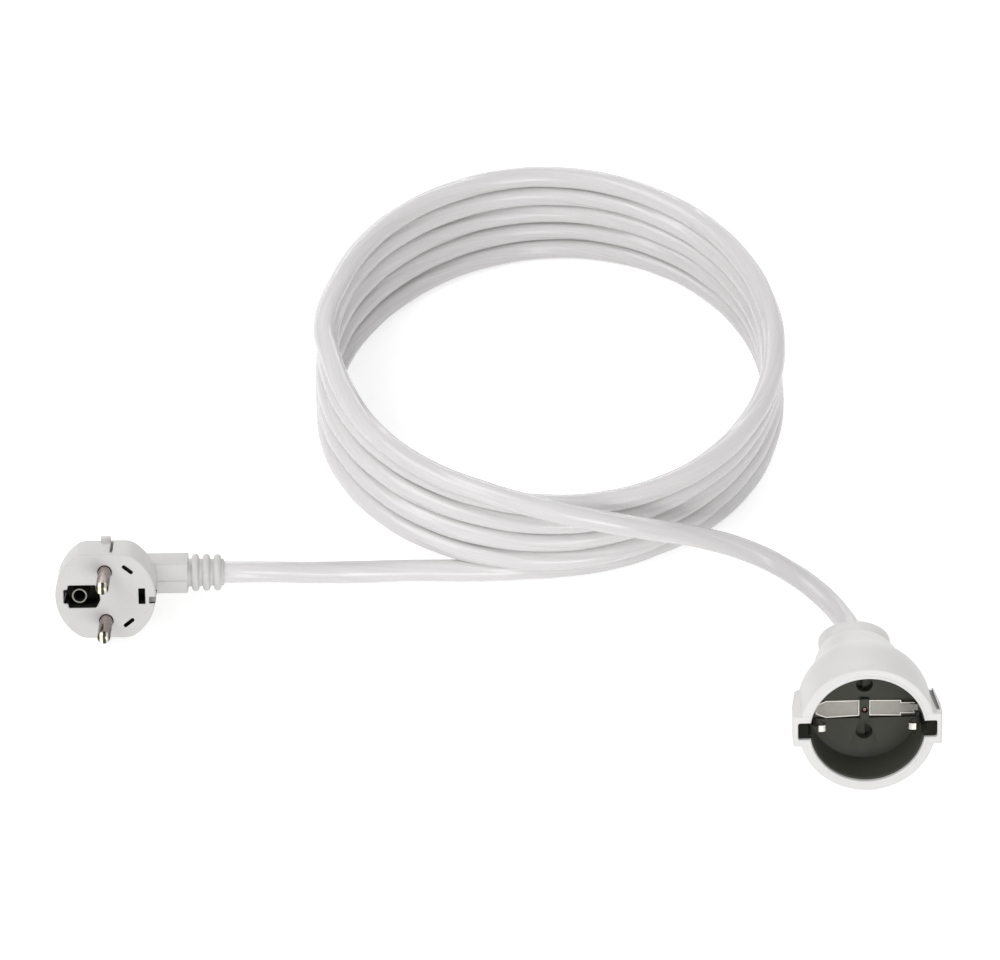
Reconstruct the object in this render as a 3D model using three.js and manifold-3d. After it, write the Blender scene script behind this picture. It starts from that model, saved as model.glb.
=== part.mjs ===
// Coiled mains extension cord: an angled earthed plug, about three metres of 8 mm
// flexible cord wound into a standing coil of five turns, and an earthed coupling.
// Millimetres, +Z up. The origin is on the floor under the middle of the coupling.
import * as THREE from 'three';
import { mergeVertices } from 'three/addons/utils/BufferGeometryUtils.js';
import Module from 'manifold-3d';

const wasm = await Module();
wasm.setup();

// ---------------------------------------------------------------- driving sizes
const GAP = 0.3; // clearance between pieces that touch
const DEG = Math.PI / 180;

const CORD_R = 4.0; // sheathed cord, three cores of 1.5 mm2
const CORE_R = 1.35; // one insulated core
const CORD_SIDES = 12;
const CORD_STEP = 12; // longest step along a free stretch

const COIL_CENTRE = new THREE.Vector2(-112.0, 163.75); // middle of the lowest turn
const COIL_HALF_X = 85.9; // half widths of the lowest turn, measured at the cord's centre
const COIL_HALF_Y = 93.0;
const COIL_PITCH = 8.25; // rise from one turn to the next
const COIL_CLIMB_FROM = 0.55; // a turn lies level up to here, then climbs onto the next layer
const COIL_TURNS = 4.7;
const COIL_STEPS = 24; // per turn
const COIL_SIDES = 6;
const COIL_SECTION_R = 4.25; // corners of the six-sided section, which stand a little proud
// The coil was wound by hand: it leans back, narrows upwards and isn't quite oval.
const COIL_LEAN = new THREE.Vector2(0.24, 1.5); // per layer
const COIL_NARROWING = 0.2;
const COIL_SKEW = 3.1;
const COIL_SKEW_LOSS = 1.05;
const COIL_WOBBLE = 0.7;
const COIL_TUCK = 6.3; // the lowest turn starts this far inside its oval
const COIL_TUCK_TURNS = 0.2;

const PIN_R = 2.4; // earthed 16 A plug: two 4.8 mm pins, 19 mm long, 19 mm apart
const PIN_LENGTH = 19;
const PIN_OFFSET = 9.5;
const PLUG_R = 18.5;
const PLUG_FLAT = 16.3; // half the width across the flats at twelve and six o'clock
const PLUG_SKIRT = 16; // depth of the part that enters a socket
const PLUG_DEPTH = 35;
const PLUG_AXIS_BACK = 25; // the cord's axis behind the plug's face
const PLUG_EXIT = 42.8; // end of the bend relief, from the plug's centre
const EARTH_OFFSET = 9.6; // earth hole's centre, away from the cord
const EARTH_SLEEVE_R = 3.1;

const RECESS_R = 20.0; // coupling's recess
const RECESS_DEPTH = 17.5;
const FLOOR_THICK = 3;
const RIM_R = 24.4;
const LIP_R = 20.6;
const LIP_THICK = 1.6;
const WING_REACH = 26.6;
const WING_HALF = 6.0;
const EAR_HALF = 3.3;
const EAR_REACH = 24.8;
const SOCKET_LENGTH = 73;
const SOCKET_THROAT = 66; // the collar's bore flares from here to its end, so that the cord can bend
const HOLE_R = 2.9; // holes for the pins in the recess floor

const SHUTTER_OPEN_HALF = 21.5; // half the angle that a shutter blade spans
const SHUTTER_Z = -(RECESS_DEPTH + FLOOR_THICK + GAP);
const SHUTTER_THICK = 2.0;

const WHITE = { color: 0xe8e6e3, roughness: 0.42, metalness: 0 };
const CORD_WHITE = { color: 0xdedcd8, roughness: 0.48, metalness: 0 };
const DARK = { color: 0x42433c, roughness: 0.4, metalness: 0 };
const NICKEL = { color: 0xbdb8b0, roughness: 0.28, metalness: 1 };
const BRASS = { color: 0xb98d52, roughness: 0.35, metalness: 1 };
const SPRING = { color: 0x8f9194, roughness: 0.3, metalness: 1 };
const BROWN = { color: 0x5a3420, roughness: 0.5, metalness: 0 };
const BLUE = { color: 0x2d62a8, roughness: 0.5, metalness: 0 };
const GREEN = { color: 0x6d9a34, roughness: 0.5, metalness: 0 };

// ---------------------------------------------------------------- solids
// A closed three.js geometry as a solid, turned inside out first if it needs it.
function solid(geometry) {
  const bare = geometry.clone();
  for (const name of Object.keys(bare.attributes)) {
    if (name !== 'position') bare.deleteAttribute(name);
  }
  const merged = mergeVertices(bare, 1e-4);
  const vertProperties = new Float32Array(merged.attributes.position.array);
  const triVerts = new Uint32Array(merged.index.array);
  if (signedVolume(vertProperties, triVerts) < 0) {
    for (let i = 0; i < triVerts.length; i += 3) {
      [triVerts[i + 1], triVerts[i + 2]] = [triVerts[i + 2], triVerts[i + 1]];
    }
  }
  return new wasm.Manifold(new wasm.Mesh({ numProp: 3, vertProperties, triVerts }));
}

function signedVolume(xyz, triangles) {
  const corner = (i) => new THREE.Vector3().fromArray(xyz, 3 * triangles[i]);
  let six = 0;
  for (let i = 0; i < triangles.length; i += 3) {
    six += corner(i).dot(corner(i + 1).cross(corner(i + 2)));
  }
  return six / 6;
}

function geometryOf(body) {
  const { vertProperties, triVerts } = body.getMesh();
  const geometry = new THREE.BufferGeometry();
  geometry.setAttribute('position', new THREE.BufferAttribute(new Float32Array(vertProperties), 3));
  geometry.setIndex(new THREE.BufferAttribute(new Uint32Array(triVerts), 1));
  geometry.computeVertexNormals();
  return geometry;
}

function join(...bodies) {
  return bodies.reduce((whole, next) => whole.add(next));
}

function cut(body, ...tools) {
  return tools.reduce((rest, tool) => rest.subtract(tool), body);
}

function box(x0, x1, y0, y1, z0, z1) {
  const geometry = new THREE.BoxGeometry(x1 - x0, y1 - y0, z1 - z0);
  geometry.translate((x0 + x1) / 2, (y0 + y1) / 2, (z0 + z1) / 2);
  return solid(geometry);
}

// A round bar along Z.
function bar(x, y, radius, z0, z1, sides = 24) {
  const geometry = new THREE.CylinderGeometry(radius, radius, z1 - z0, sides);
  geometry.rotateX(Math.PI / 2);
  geometry.translate(x, y, (z0 + z1) / 2);
  return solid(geometry);
}

// A profile of [radius, z] pairs that starts and ends on the axis, turned about Z.
function turned(profile, sides = 32) {
  const points = profile.map(([r, z]) => new THREE.Vector2(r, z));
  const geometry = new THREE.LatheGeometry(points, sides);
  geometry.rotateX(Math.PI / 2);
  return geometry;
}

// An outline in X and Y, given as a Shape, raised from z0 to z1.
function prism(shape, z0, z1, curveSegments = 8) {
  const geometry = new THREE.ExtrudeGeometry(shape, { depth: z1 - z0, bevelEnabled: false, curveSegments });
  geometry.translate(0, 0, z0);
  return solid(geometry);
}

function polygon(points) {
  return new THREE.Shape(points.map(([x, y]) => new THREE.Vector2(x, y)));
}

// An outline in X and Z with a width along Y, centred on y = 0.
function plate(points, width) {
  const geometry = new THREE.ExtrudeGeometry(polygon(points), { depth: width, bevelEnabled: false });
  geometry.translate(0, 0, -width / 2);
  geometry.rotateX(Math.PI / 2);
  return solid(geometry);
}

// A bent strip of sheet metal: the line it follows in X and Z, its thickness and width.
function bentStrip(line, thickness, width) {
  const path = line.map(([x, z]) => new THREE.Vector2(x, z));
  const left = [];
  const right = [];
  path.forEach((point, i) => {
    const before = path[Math.max(i - 1, 0)];
    const after = path[Math.min(i + 1, path.length - 1)];
    const along = after.clone().sub(before).normalize();
    const side = new THREE.Vector2(-along.y, along.x).multiplyScalar(thickness / 2);
    left.push(point.clone().add(side));
    right.unshift(point.clone().sub(side));
  });
  return plate([...left, ...right].map((p) => [p.x, p.y]), width);
}

// Outlines with the same number of points, one above the other, skinned and closed.
function loft(sections) {
  const sides = sections[0].outline.length;
  const xyz = [];
  const index = [];
  for (const { z, outline } of sections) {
    for (const [x, y] of outline) xyz.push(x, y, z);
  }
  for (let level = 0; level + 1 < sections.length; level += 1) {
    for (let i = 0; i < sides; i += 1) {
      const a = level * sides + i;
      const b = level * sides + ((i + 1) % sides);
      index.push(a, b, b + sides, a, b + sides, a + sides);
    }
  }
  for (const level of [0, sections.length - 1]) {
    const first = level * sides;
    for (let i = 1; i + 1 < sides; i += 1) {
      if (level === 0) index.push(first, first + i + 1, first + i);
      else index.push(first, first + i, first + i + 1);
    }
  }
  const geometry = new THREE.BufferGeometry();
  geometry.setAttribute('position', new THREE.Float32BufferAttribute(xyz, 3));
  geometry.setIndex(index);
  return solid(geometry);
}

function ovalOutline(halfX, halfY, sides) {
  return Array.from({ length: sides }, (_, i) => {
    const angle = (2 * Math.PI * i) / sides;
    return [halfX * Math.cos(angle), halfY * Math.sin(angle)];
  });
}

// A circle flattened at twelve and six o'clock.
function flattedOutline(radius, flat, sides) {
  return ovalOutline(radius, radius, sides).map(([x, y]) => [x, Math.max(-flat, Math.min(flat, y))]);
}

// A round tube of constant radius along a smooth curve.
function rod(points, radius, sides, steps, turnBy = 0) {
  const section = ovalOutline(radius, radius, sides).map(([x, y]) => new THREE.Vector2(x, y));
  const middle = new THREE.Vector2();
  const shape = new THREE.Shape(section.map((p) => p.rotateAround(middle, turnBy)));
  const curve = new THREE.CatmullRomCurve3(points.map((p) => new THREE.Vector3(...p)), false, 'centripetal');
  return new THREE.ExtrudeGeometry(shape, { steps, extrudePath: curve, bevelEnabled: false });
}

function node(name, shape, look) {
  const geometry = shape.isBufferGeometry ? shape : geometryOf(shape);
  const mesh = new THREE.Mesh(geometry, new THREE.MeshStandardMaterial(look));
  mesh.name = name;
  return mesh;
}

// ---------------------------------------------------------------- plug
// Plug frame: the face lies in z = 0 with the pins along +Z, and the cord leaves along +X.

// Half widths of the moulding from the face to the back: [z, radius, half width across the flats].
const PLUG_SECTIONS = [
  [0, PLUG_R - 0.9, PLUG_FLAT - 0.9],
  [-0.9, PLUG_R, PLUG_FLAT],
  [-PLUG_SKIRT, PLUG_R, PLUG_FLAT],
  [-17.2, 17.4, 15.0],
  [-20, 15.8, 13.4],
  [-25, 14.3, 11.3],
  [-30, 13.3, 9.8],
  [-33.4, 12.6, 8.6],
  [-PLUG_DEPTH, 11.0, 7.0],
];
// The hollow that holds the metalwork, in the same terms.
const PLUG_HOLLOW = [
  [-2.0, 15.7, 12.5],
  [-PLUG_SKIRT, 15.2, 12.5],
  [-19, 13.4, 11.7],
  [-24, 11.6, 8.6],
  [-31, 10.2, 6.2],
];

function flattedLoft(sections, sides) {
  return loft(sections.map(([z, radius, flat]) => ({ z, outline: flattedOutline(radius, flat, sides) })));
}

function alongCord(body) {
  return body.rotate([0, 90, 0]).translate([0, 0, -PLUG_AXIS_BACK]);
}

// The neck is a square bar with its corners taken off, square to the pins.
function plugNeck() {
  const halfY = 5.8;
  const halfZ = 6.5;
  const corner = 0.8;
  const outline = polygon([
    [halfZ, -halfY + corner], [halfZ, halfY - corner], [halfZ - corner, halfY], [-halfZ + corner, halfY],
    [-halfZ, halfY - corner], [-halfZ, -halfY + corner], [-halfZ + corner, -halfY], [halfZ - corner, -halfY],
  ]);
  return alongCord(prism(outline, 6, 29.5));
}

// The bend relief: a soft core with three round ribs.
function plugRelief() {
  const ribs = [32.2, 36.3, 40.4];
  const ribHalf = 1.5;
  const coreR = 5.3;
  const profile = [[0, 28], [coreR, 28]];
  for (const x of ribs) {
    profile.push([coreR, x - ribHalf], [6.7, x - 1.0], [7.0, x], [6.7, x + 1.0], [coreR, x + ribHalf]);
  }
  profile.push([coreR, PLUG_EXIT - 0.4], [coreR - 0.4, PLUG_EXIT], [0, PLUG_EXIT]);
  return alongCord(solid(turned(profile, 20)));
}

// The earth hole's window: an octagon that is longer along the cord's direction.
function earthWindow(inset, z0, z1) {
  const left = -15.4 + inset;
  const right = -1.9 - inset;
  const half = 4.4 - inset;
  const corner = 2.0;
  const outline = polygon([
    [left, -half + corner], [left + corner, -half], [right - corner, -half], [right, -half + corner],
    [right, half - corner], [right - corner, half], [left + corner, half], [left, half - corner],
  ]);
  return prism(outline, z0, z1);
}

function plugBody() {
  const outside = join(flattedLoft(PLUG_SECTIONS, 56), plugNeck(), plugRelief());
  const hollow = join(flattedLoft(PLUG_HOLLOW, 40), alongCord(bar(0, 0, CORD_R + GAP, 6, PLUG_EXIT + 1, 20)));
  const tools = [hollow, earthWindow(0, -3, 1)];
  for (const side of [1, -1]) {
    tools.push(bar(0, side * PIN_OFFSET, PIN_R + GAP, -3, 1, 20));
    // side contact's channel, open to the face and to the side
    tools.push(box(-2.3, 2.3, -2.9, 2.9, -13.4, 1).translate([side * 17.7, 0, 0]));
    tools.push(box(-1.5, 1.5, -2.9, 2.9, -13.4, -2).translate([side * 15.0, 0, 0]));
    // slit beside the guide rib on the flat
    tools.push(box(-0.55, 0.55, -1.7, 1.7, -14.2, -2.4).translate([side * 2.35, side * 15.1, 0]));
    // narrow moulding slot
    const slot = box(-2.45, 2.45, -0.65, 0.65, -3, 1).rotate([0, 0, 90 + side * 51]);
    const angle = side * 51 * DEG;
    tools.push(slot.translate([13.3 * Math.cos(angle), 13.3 * Math.sin(angle), 0]));
  }
  tools.push(box(12.1, 14.6, -2.95, 2.95, -3, 1));
  const tab = box(-1.85, 1.85, PLUG_FLAT - 1, PLUG_FLAT + 1.9, -PLUG_SKIRT, -13.2);
  return join(cut(outside, ...tools), tab);
}

// The dark inner moulding that spaces the pins and carries the earth parts.
function plugBridge() {
  const disc = loft([
    { z: -11, outline: flattedOutline(15.0, 11.2, 40) },
    { z: -2.4, outline: flattedOutline(15.2, 11.2, 40) },
  ]);
  const tools = [earthWindow(0.2, -9, 0), bar(-EARTH_OFFSET, 0, EARTH_SLEEVE_R + GAP, -12, 0, 20)];
  for (const side of [1, -1]) {
    tools.push(bar(0, side * PIN_OFFSET, PIN_R + GAP, -12, 0, 20));
  }
  tools.push(box(11.4, 16, -2.7, 2.7, -9, 0));
  tools.push(box(4, 8, -9, -4, -12, -6));
  tools.push(box(4, 8, 4, 9, -12, -6));
  return cut(disc, ...tools);
}

function plugPin() {
  const shank = 2.1; // the crimped tail
  return solid(turned([
    [0, -12.5 - 4], [shank, -12.5 - 4], [shank, -12.5], [PIN_R, -12.2], [PIN_R, PIN_LENGTH - 1.9],
    [PIN_R - 0.25, PIN_LENGTH - 0.9], [PIN_R - 0.9, PIN_LENGTH - 0.2], [0, PIN_LENGTH],
  ], 20));
}

// One strip of brass: an eye round the earth sleeve and two legs that show in the side channels.
function plugEarthStrap() {
  const back = -12.5;
  const front = back + 1;
  const across = box(-16.7, 16.7, -2.3, 2.3, back, front);
  const eye = bar(-EARTH_OFFSET, 0, 5.2, back, front, 24);
  const legs = [1, -1].map((side) => bentStrip([
    [side * 16.2, back], [side * 16.2, -4], [side * 16.4, -2.4], [side * 15.9, -1.2],
  ], 0.9, 4.6));
  const crimp = box(3.6, 6.4, -1.6, 1.6, back - 3.4, back + 0.2);
  const strap = join(across, eye, ...legs, crimp);
  return cut(strap, bar(-EARTH_OFFSET, 0, EARTH_SLEEVE_R + GAP, back - 1, front + 1, 20));
}

function plugEarthSleeve() {
  const outer = EARTH_SLEEVE_R;
  const inner = 2.45;
  return solid(turned([
    [0, -19.4], [outer, -19.4], [outer, -4.4], [outer - 0.2, -4.1], [inner + 0.2, -4.1],
    [inner, -4.5], [inner, -18.2], [0, -18.2],
  ], 20));
}

function plugCores() {
  const sheathEnd = 13;
  const live = [[12.6, 1.8, -24.1], [11.4, 1.8, -24.1], [8, 3.4, -23.8], [4, 6.0, -22], [0.6, 9.2, -19.4], [0, 9.5, -16.9]];
  const neutral = live.map(([x, y, z]) => [x, -y, z]);
  const earth = [[12.6, 0, -27.0], [11.4, 0, -27.0], [7.4, 0, -25.0], [5.4, 0, -21.4], [5, 0, -18.4], [5, 0, -16.3]];
  return [
    node('plug_core_live', solid(rod(live, CORE_R, 8, 10)), BROWN),
    node('plug_core_neutral', solid(rod(neutral, CORE_R, 8, 10)), BLUE),
    node('plug_core_earth', solid(rod(earth, CORE_R, 8, 10)), GREEN),
    node('plug_sheath_end', alongCord(bar(0, 0, CORD_R, sheathEnd, PLUG_EXIT - GAP, 16)), CORD_WHITE),
  ];
}

function plugMeshes() {
  const meshes = [
    node('plug_body', plugBody(), WHITE),
    node('plug_contact_bridge', plugBridge(), DARK),
    node('plug_earth_strap', plugEarthStrap(), BRASS),
    node('plug_earth_sleeve', plugEarthSleeve().translate([-EARTH_OFFSET, 0, 0]), NICKEL),
    node('plug_pin_live', plugPin().translate([0, PIN_OFFSET, 0]), NICKEL),
    node('plug_pin_neutral', plugPin().translate([0, -PIN_OFFSET, 0]), NICKEL),
  ];
  return meshes.concat(plugCores());
}

// ---------------------------------------------------------------- coupling
// Coupling frame: the rim lies in z = 0 and faces +Z, and the cord leaves along -Z.

// Round at the front, flattened towards the cord: [z, half width, half height].
const SHELL_SECTIONS = [
  [-63.2, 12.2, 7.4],
  [-62.0, 12.3, 7.6],
  [-61.6, 13.0, 9.0],
  [-61.0, 13.4, 9.6],
  [-57, 14.6, 11.0],
  [-53, 15.6, 12.2],
  [-47, 16.6, 14.0],
  [-42, 17.6, 15.6],
  [-37, 19.0, 17.6],
  [-33, 20.5, 19.6],
  [-28, 22.3, 21.7],
  [-24, 23.6, 23.1],
  [-19, 24.1, 24.0],
  [-0.9, RIM_R, RIM_R],
  [0, RIM_R - 0.9, RIM_R - 0.9],
];
const SHELL_HOLLOW = [
  [-58, 12.0, 7.6],
  [-53, 14.0, 10.6],
  [-47, 15.0, 12.4],
  [-42, 16.0, 14.0],
  [-37, 17.4, 16.0],
  [-33, 18.9, 18.0],
  [-28, 20.7, 20.1],
  [-24, 21.95, 21.5],
  [-20.6, 22.0, 21.95],
  [-LIP_THICK, 22.0, 22.0],
];
const COLLAR_SECTIONS = [
  [-SOCKET_LENGTH, 10.9, 5.8],
  [-72.4, 12.3, 7.1],
  [-70.9, 13.2, 7.9],
  [-64.5, 13.3, 8.0],
  [-63.5, 12.7, 7.4],
];

function ovalLoft(sections, sides) {
  return loft(sections.map(([z, halfX, halfY]) => ({ z, outline: ovalOutline(halfX, halfY, sides) })));
}

// The housing that guides an earth clip, with its outer corner sloped towards the cord.
function wing(side) {
  const outline = [
    [side * 20, 0], [side * (WING_REACH - 0.6), 0], [side * WING_REACH, -0.8],
    [side * WING_REACH, -15.5], [side * 24.4, -19.5], [side * 20, -19.5],
  ];
  return plate(outline, 2 * WING_HALF);
}

// The cord's way out of the coupling, which opens sideways so that the cord can bend in it.
function throat() {
  const bore = CORD_R + GAP;
  const sections = [
    [-SOCKET_LENGTH - 0.5, bore + 2.8, bore + 0.5], [-SOCKET_THROAT, bore + 0.3, bore], [-60, bore, bore],
  ];
  return ovalLoft(sections, 24);
}

function socketShell() {
  const outside = join(ovalLoft(SHELL_SECTIONS, 56), wing(1), wing(-1));
  const spigot = ovalLoft([[-69.6, 9.6, 5.5], [-60, 9.6, 5.5]], 28);
  const lipBore = LIP_R - 0.1;
  const mouth = turned([
    [0, -LIP_THICK - 1], [lipBore, -LIP_THICK - 1], [lipBore, -0.7], [LIP_R + 0.6, 1], [0, 1],
  ], 56);
  const tools = [
    ovalLoft(SHELL_HOLLOW, 48),
    solid(mouth),
    bar(0, 0, CORD_R + GAP, -71, -50, 20),
    throat(),
    box(-EAR_REACH, EAR_REACH, -EAR_HALF, EAR_HALF, -18.5, 1),
    // long slit on the shoulder of one wing
    box(-6.5, 6.5, -0.6, 0.6, -1, 1).rotate([0, 90, 0]).translate([WING_REACH - 0.8, WING_HALF, -10]),
  ];
  return cut(join(outside, spigot), ...tools);
}

function socketCollar() {
  const outside = ovalLoft(COLLAR_SECTIONS, 40);
  const seat = ovalLoft([[-69.6 - GAP, 9.6 + GAP, 5.5 + GAP], [-55, 9.6 + GAP, 5.5 + GAP]], 28);
  return cut(outside, seat, throat());
}

// The dark cup that a plug enters: wall, floor, ear pockets and the bridge over the earth bar.
function socketInsert() {
  const rear = -(RECESS_DEPTH + FLOOR_THICK);
  const cup = turned([
    [0, rear], [21.6, rear], [21.6, -LIP_THICK - GAP], [RECESS_R + 0.2, -LIP_THICK - GAP],
    [RECESS_R, -3], [RECESS_R, -RECESS_DEPTH], [0, -RECESS_DEPTH],
  ], 56);
  const ears = box(-EAR_REACH + GAP, EAR_REACH - GAP, -EAR_HALF + GAP, EAR_HALF - GAP, -18.2, -1.2);
  const inside = bar(0, 0, RECESS_R - 0.05, -RECESS_DEPTH, 1, 56);
  const shell = join(solid(cup), cut(ears, inside));
  const tools = [
    // trough for the earth bar and the slots that its clips stand in
    box(-18.9, 18.9, -4.0, 3.4, -18.7, 0),
    box(-22.6, 22.6, -2.1, 2.1, -18.7, -2.2),
    box(-21.2, 21.2, -2.1, 2.1, -3, 1),
    // passage for the earth bar's tail
    box(12.2, 14.4, -1.9, 1.9, -24, -16),
    bar(0, 0, 1.0 + GAP, -24, -14, 16),
  ];
  for (const side of [1, -1]) {
    tools.push(bar(0, side * PIN_OFFSET, HOLE_R, -24, -14, 24));
    tools.push(solid(turned([[0, -18.4], [HOLE_R, -18.4], [HOLE_R + 1.0, -17.2], [0, -17.2]], 24))
      .translate([0, side * PIN_OFFSET, 0]));
  }
  const post = cut(box(-1.7, 1.7, -4.3, 4.3, -17.2, -15.9), bar(0, 0, 1.3, -18, -15, 16));
  return join(cut(shell, ...tools), post, box(-1.7, 1.7, 3.4, 4.3, -18, -17), box(-1.7, 1.7, -4.3, -4.0, -18, -17));
}

// One stamped part: the bar across the floor, a springy clip at each end and a tail to the rear.
function socketEarthBracket() {
  const low = -18.4;
  const high = low + 0.9;
  // each half droops a little towards its end, and the left one widens
  const outline = polygon([
    [-17.4, -2.2], [-13.8, -3.7], [0, -3.0], [13.2, -3.4], [13.2, -2.5], [18.2, -2.6],
    [17.4, -0.4], [18.2, 1.8], [13.2, 1.9], [13.2, 2.8], [0, 3.1], [-13.8, 3.1], [-17.4, 1.4],
  ]);
  const flat = prism(outline, low, high);
  const clips = [1, -1].map((side) => bentStrip([
    [side * 16.6, low + 0.45], [side * 19.4, low + 0.6], [side * 20.7, -16.2], [side * 21.3, -12.5], [side * 20.9, -9],
    [side * 17.6, -6.0], [side * 15.4, -4.4], [side * 15.0, -3.5], [side * 15.9, -2.9], [side * 18.2, -3.1],
  ], 0.8, 3.3));
  const tail = box(12.8, 13.8, -1.6, 1.6, -38, high);
  return cut(join(flat, ...clips, tail), bar(0, 0, 1.0 + GAP, -20, -16, 16));
}

function centreRivet() {
  return solid(turned([[0, -24.4], [1.0, -24.4], [1.0, -16.9], [0.9, -16.3], [0, -16.1]], 16));
}

// Two blades that close the pin holes; a sloped edge lets both pins push them round together.
function shutter() {
  const inner = 4.2;
  const outer = 13.0;
  const half = SHUTTER_OPEN_HALF * DEG;
  const blades = [90, 270].map((middle) => {
    const shape = new THREE.Shape();
    shape.absarc(0, 0, outer, middle * DEG - half, middle * DEG + half, false);
    shape.absarc(0, 0, inner - 1, middle * DEG + half, middle * DEG - half, true);
    shape.closePath();
    const blade = prism(shape, SHUTTER_Z - SHUTTER_THICK, SHUTTER_Z, 6);
    // slope on the trailing edge, where a pin lands off centre
    const slope = box(-8, 0, 4, 15, 0, 5).rotate([0, 32, 0]).translate([-1.2, 0, SHUTTER_Z - 1.2]);
    return cut(blade, slope.rotate([0, 0, middle - 90]));
  });
  const hub = bar(0, 0, inner + 0.4, SHUTTER_Z - SHUTTER_THICK, SHUTTER_Z, 24);
  return cut(join(...blades, hub), bar(0, 0, 2.3, -30, -10, 20));
}

// The rear block: a post that the shutter turns on and two chambers for the contacts.
function contactCarrier() {
  const front = SHUTTER_Z - SHUTTER_THICK - GAP;
  const back = -37;
  const block = loft([
    { z: back, outline: ovalOutline(16.8, 14.2, 40) },
    { z: -33, outline: ovalOutline(18.4, 16.4, 40) },
    { z: -28, outline: ovalOutline(20.1, 18.6, 40) },
    { z: front, outline: ovalOutline(20.6, 20.2, 40) },
  ]);
  const post = bar(0, 0, 2.0, front - 1, SHUTTER_Z, 20);
  const tools = [bar(0, 0, 1.0 + GAP, -25.2, -10, 16), box(12.2, 14.4, -1.9, 1.9, -40, -20)];
  for (const side of [1, -1]) {
    tools.push(bar(0, side * PIN_OFFSET, 3.5 + GAP, -40, -20, 24));
    tools.push(box(side > 0 ? 6 : -16, side > 0 ? 11 : -6, -5, 5, -40, -28));
  }
  return cut(join(block, post), ...tools);
}

// A split sleeve that grips a pin, with a crimp behind it.
function powerContact(side) {
  const outer = 3.4;
  const inner = 2.5;
  const sleeve = solid(turned([
    [0, -41], [2.0, -41], [2.0, -37.2], [outer, -36.6], [outer, -24.6], [outer - 0.3, -24.2],
    [inner + 0.5, -24.2], [inner, -25.2], [inner, -36], [0, -36],
  ], 24));
  const slit = box(-0.5, 0.5, -5, 5, -34.5, -20);
  return cut(sleeve, slit).translate([0, side * PIN_OFFSET, 0]);
}

// A bow of spring wire that brings the shutter back over the holes.
function shutterSpring() {
  const z = SHUTTER_Z - 1;
  const bow = [[-5.4, 3.4, z], [-8.6, 1.2, z], [-12.5, -1.6, z], [-16.0, -5.2, z], [-17.4, -8.6, z]];
  return solid(rod(bow, 0.35, 6, 10));
}

// The saddle that grips the sheath, and one of its two screws.
const CLAMP_SCREW_X = 7.4;
const CLAMP_TOP = 6.4;
const CLAMP_Z = -50.4;

function cordClamp() {
  const saddle = box(-10, 10, -1, CLAMP_TOP, CLAMP_Z - 2.2, CLAMP_Z + 2.2);
  const holes = [-1, 1].map((side) => bar(0, 0, 1.25 + GAP, -12, 12, 16).rotate([90, 0, 0])
    .translate([side * CLAMP_SCREW_X, 3, CLAMP_Z]));
  return cut(saddle, bar(0, 0, CORD_R + GAP, -54, -46, 20), box(-5.4, 5.4, -1.1, 1.4, -54, -46), ...holes);
}

function clampScrew(side) {
  const screw = turned([
    [0, -8], [0.9, -7.4], [1.25, -6.6], [1.25, 0], [2.4, 0.3], [2.4, 1.2], [1.9, 1.7], [0, 1.7],
  ], 16);
  return solid(screw).rotate([-90, 0, 0]).translate([side * CLAMP_SCREW_X, CLAMP_TOP + 0.1, CLAMP_Z]);
}

function socketCores() {
  const sheathEnd = -47.5;
  const live = [[-1, 1.8, -47.1], [-1, 1.9, -45.9], [-0.6, 4.4, -44.4], [0, 7.6, -43.8], [0, 9.5, -42.5], [0, 9.5, -41.3]];
  const neutral = live.map(([x, y, z]) => [x, -y, z]);
  const earth = [[2.2, 0, -47.1], [2.4, 0, -45.9], [5.6, 0, -44.2], [10, 0, -43.4], [13.3, 0, -40.2], [13.3, 0, -38.4]];
  return [
    node('socket_core_live', solid(rod(live, CORE_R, 8, 10)), BROWN),
    node('socket_core_neutral', solid(rod(neutral, CORE_R, 8, 10)), BLUE),
    node('socket_core_earth', solid(rod(earth, CORE_R, 8, 10)), GREEN),
    node('socket_sheath_end', bar(0, 0, CORD_R, -SOCKET_THROAT, sheathEnd, 16), CORD_WHITE),
  ];
}

function socketMeshes() {
  const meshes = [
    node('socket_shell', socketShell(), WHITE),
    node('socket_collar', socketCollar(), WHITE),
    node('socket_insert', socketInsert(), DARK),
    node('socket_earth_bracket', socketEarthBracket(), NICKEL),
    node('socket_centre_rivet', centreRivet(), BRASS),
    node('socket_shutter', shutter(), DARK),
    node('socket_shutter_spring', shutterSpring(), SPRING),
    node('socket_contact_carrier', contactCarrier(), DARK),
    node('socket_contact_live', powerContact(1), BRASS),
    node('socket_contact_neutral', powerContact(-1), BRASS),
    node('socket_cord_clamp', cordClamp(), WHITE),
    node('socket_clamp_screw_left', clampScrew(-1), SPRING),
    node('socket_clamp_screw_right', clampScrew(1), SPRING),
  ];
  return meshes.concat(socketCores());
}

// ---------------------------------------------------------------- cord
// The lowest turn rests on a flat of its six-sided section.
const COIL_REST = COIL_SECTION_R * Math.cos(Math.PI / COIL_SIDES);

// How far a turn has climbed onto the next layer, from 0 to 1.
function climb(turns) {
  const whole = Math.floor(turns);
  const part = Math.max(0, (turns - whole - COIL_CLIMB_FROM) / (1 - COIL_CLIMB_FROM));
  return whole + part * part * (3 - 2 * part);
}

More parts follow.
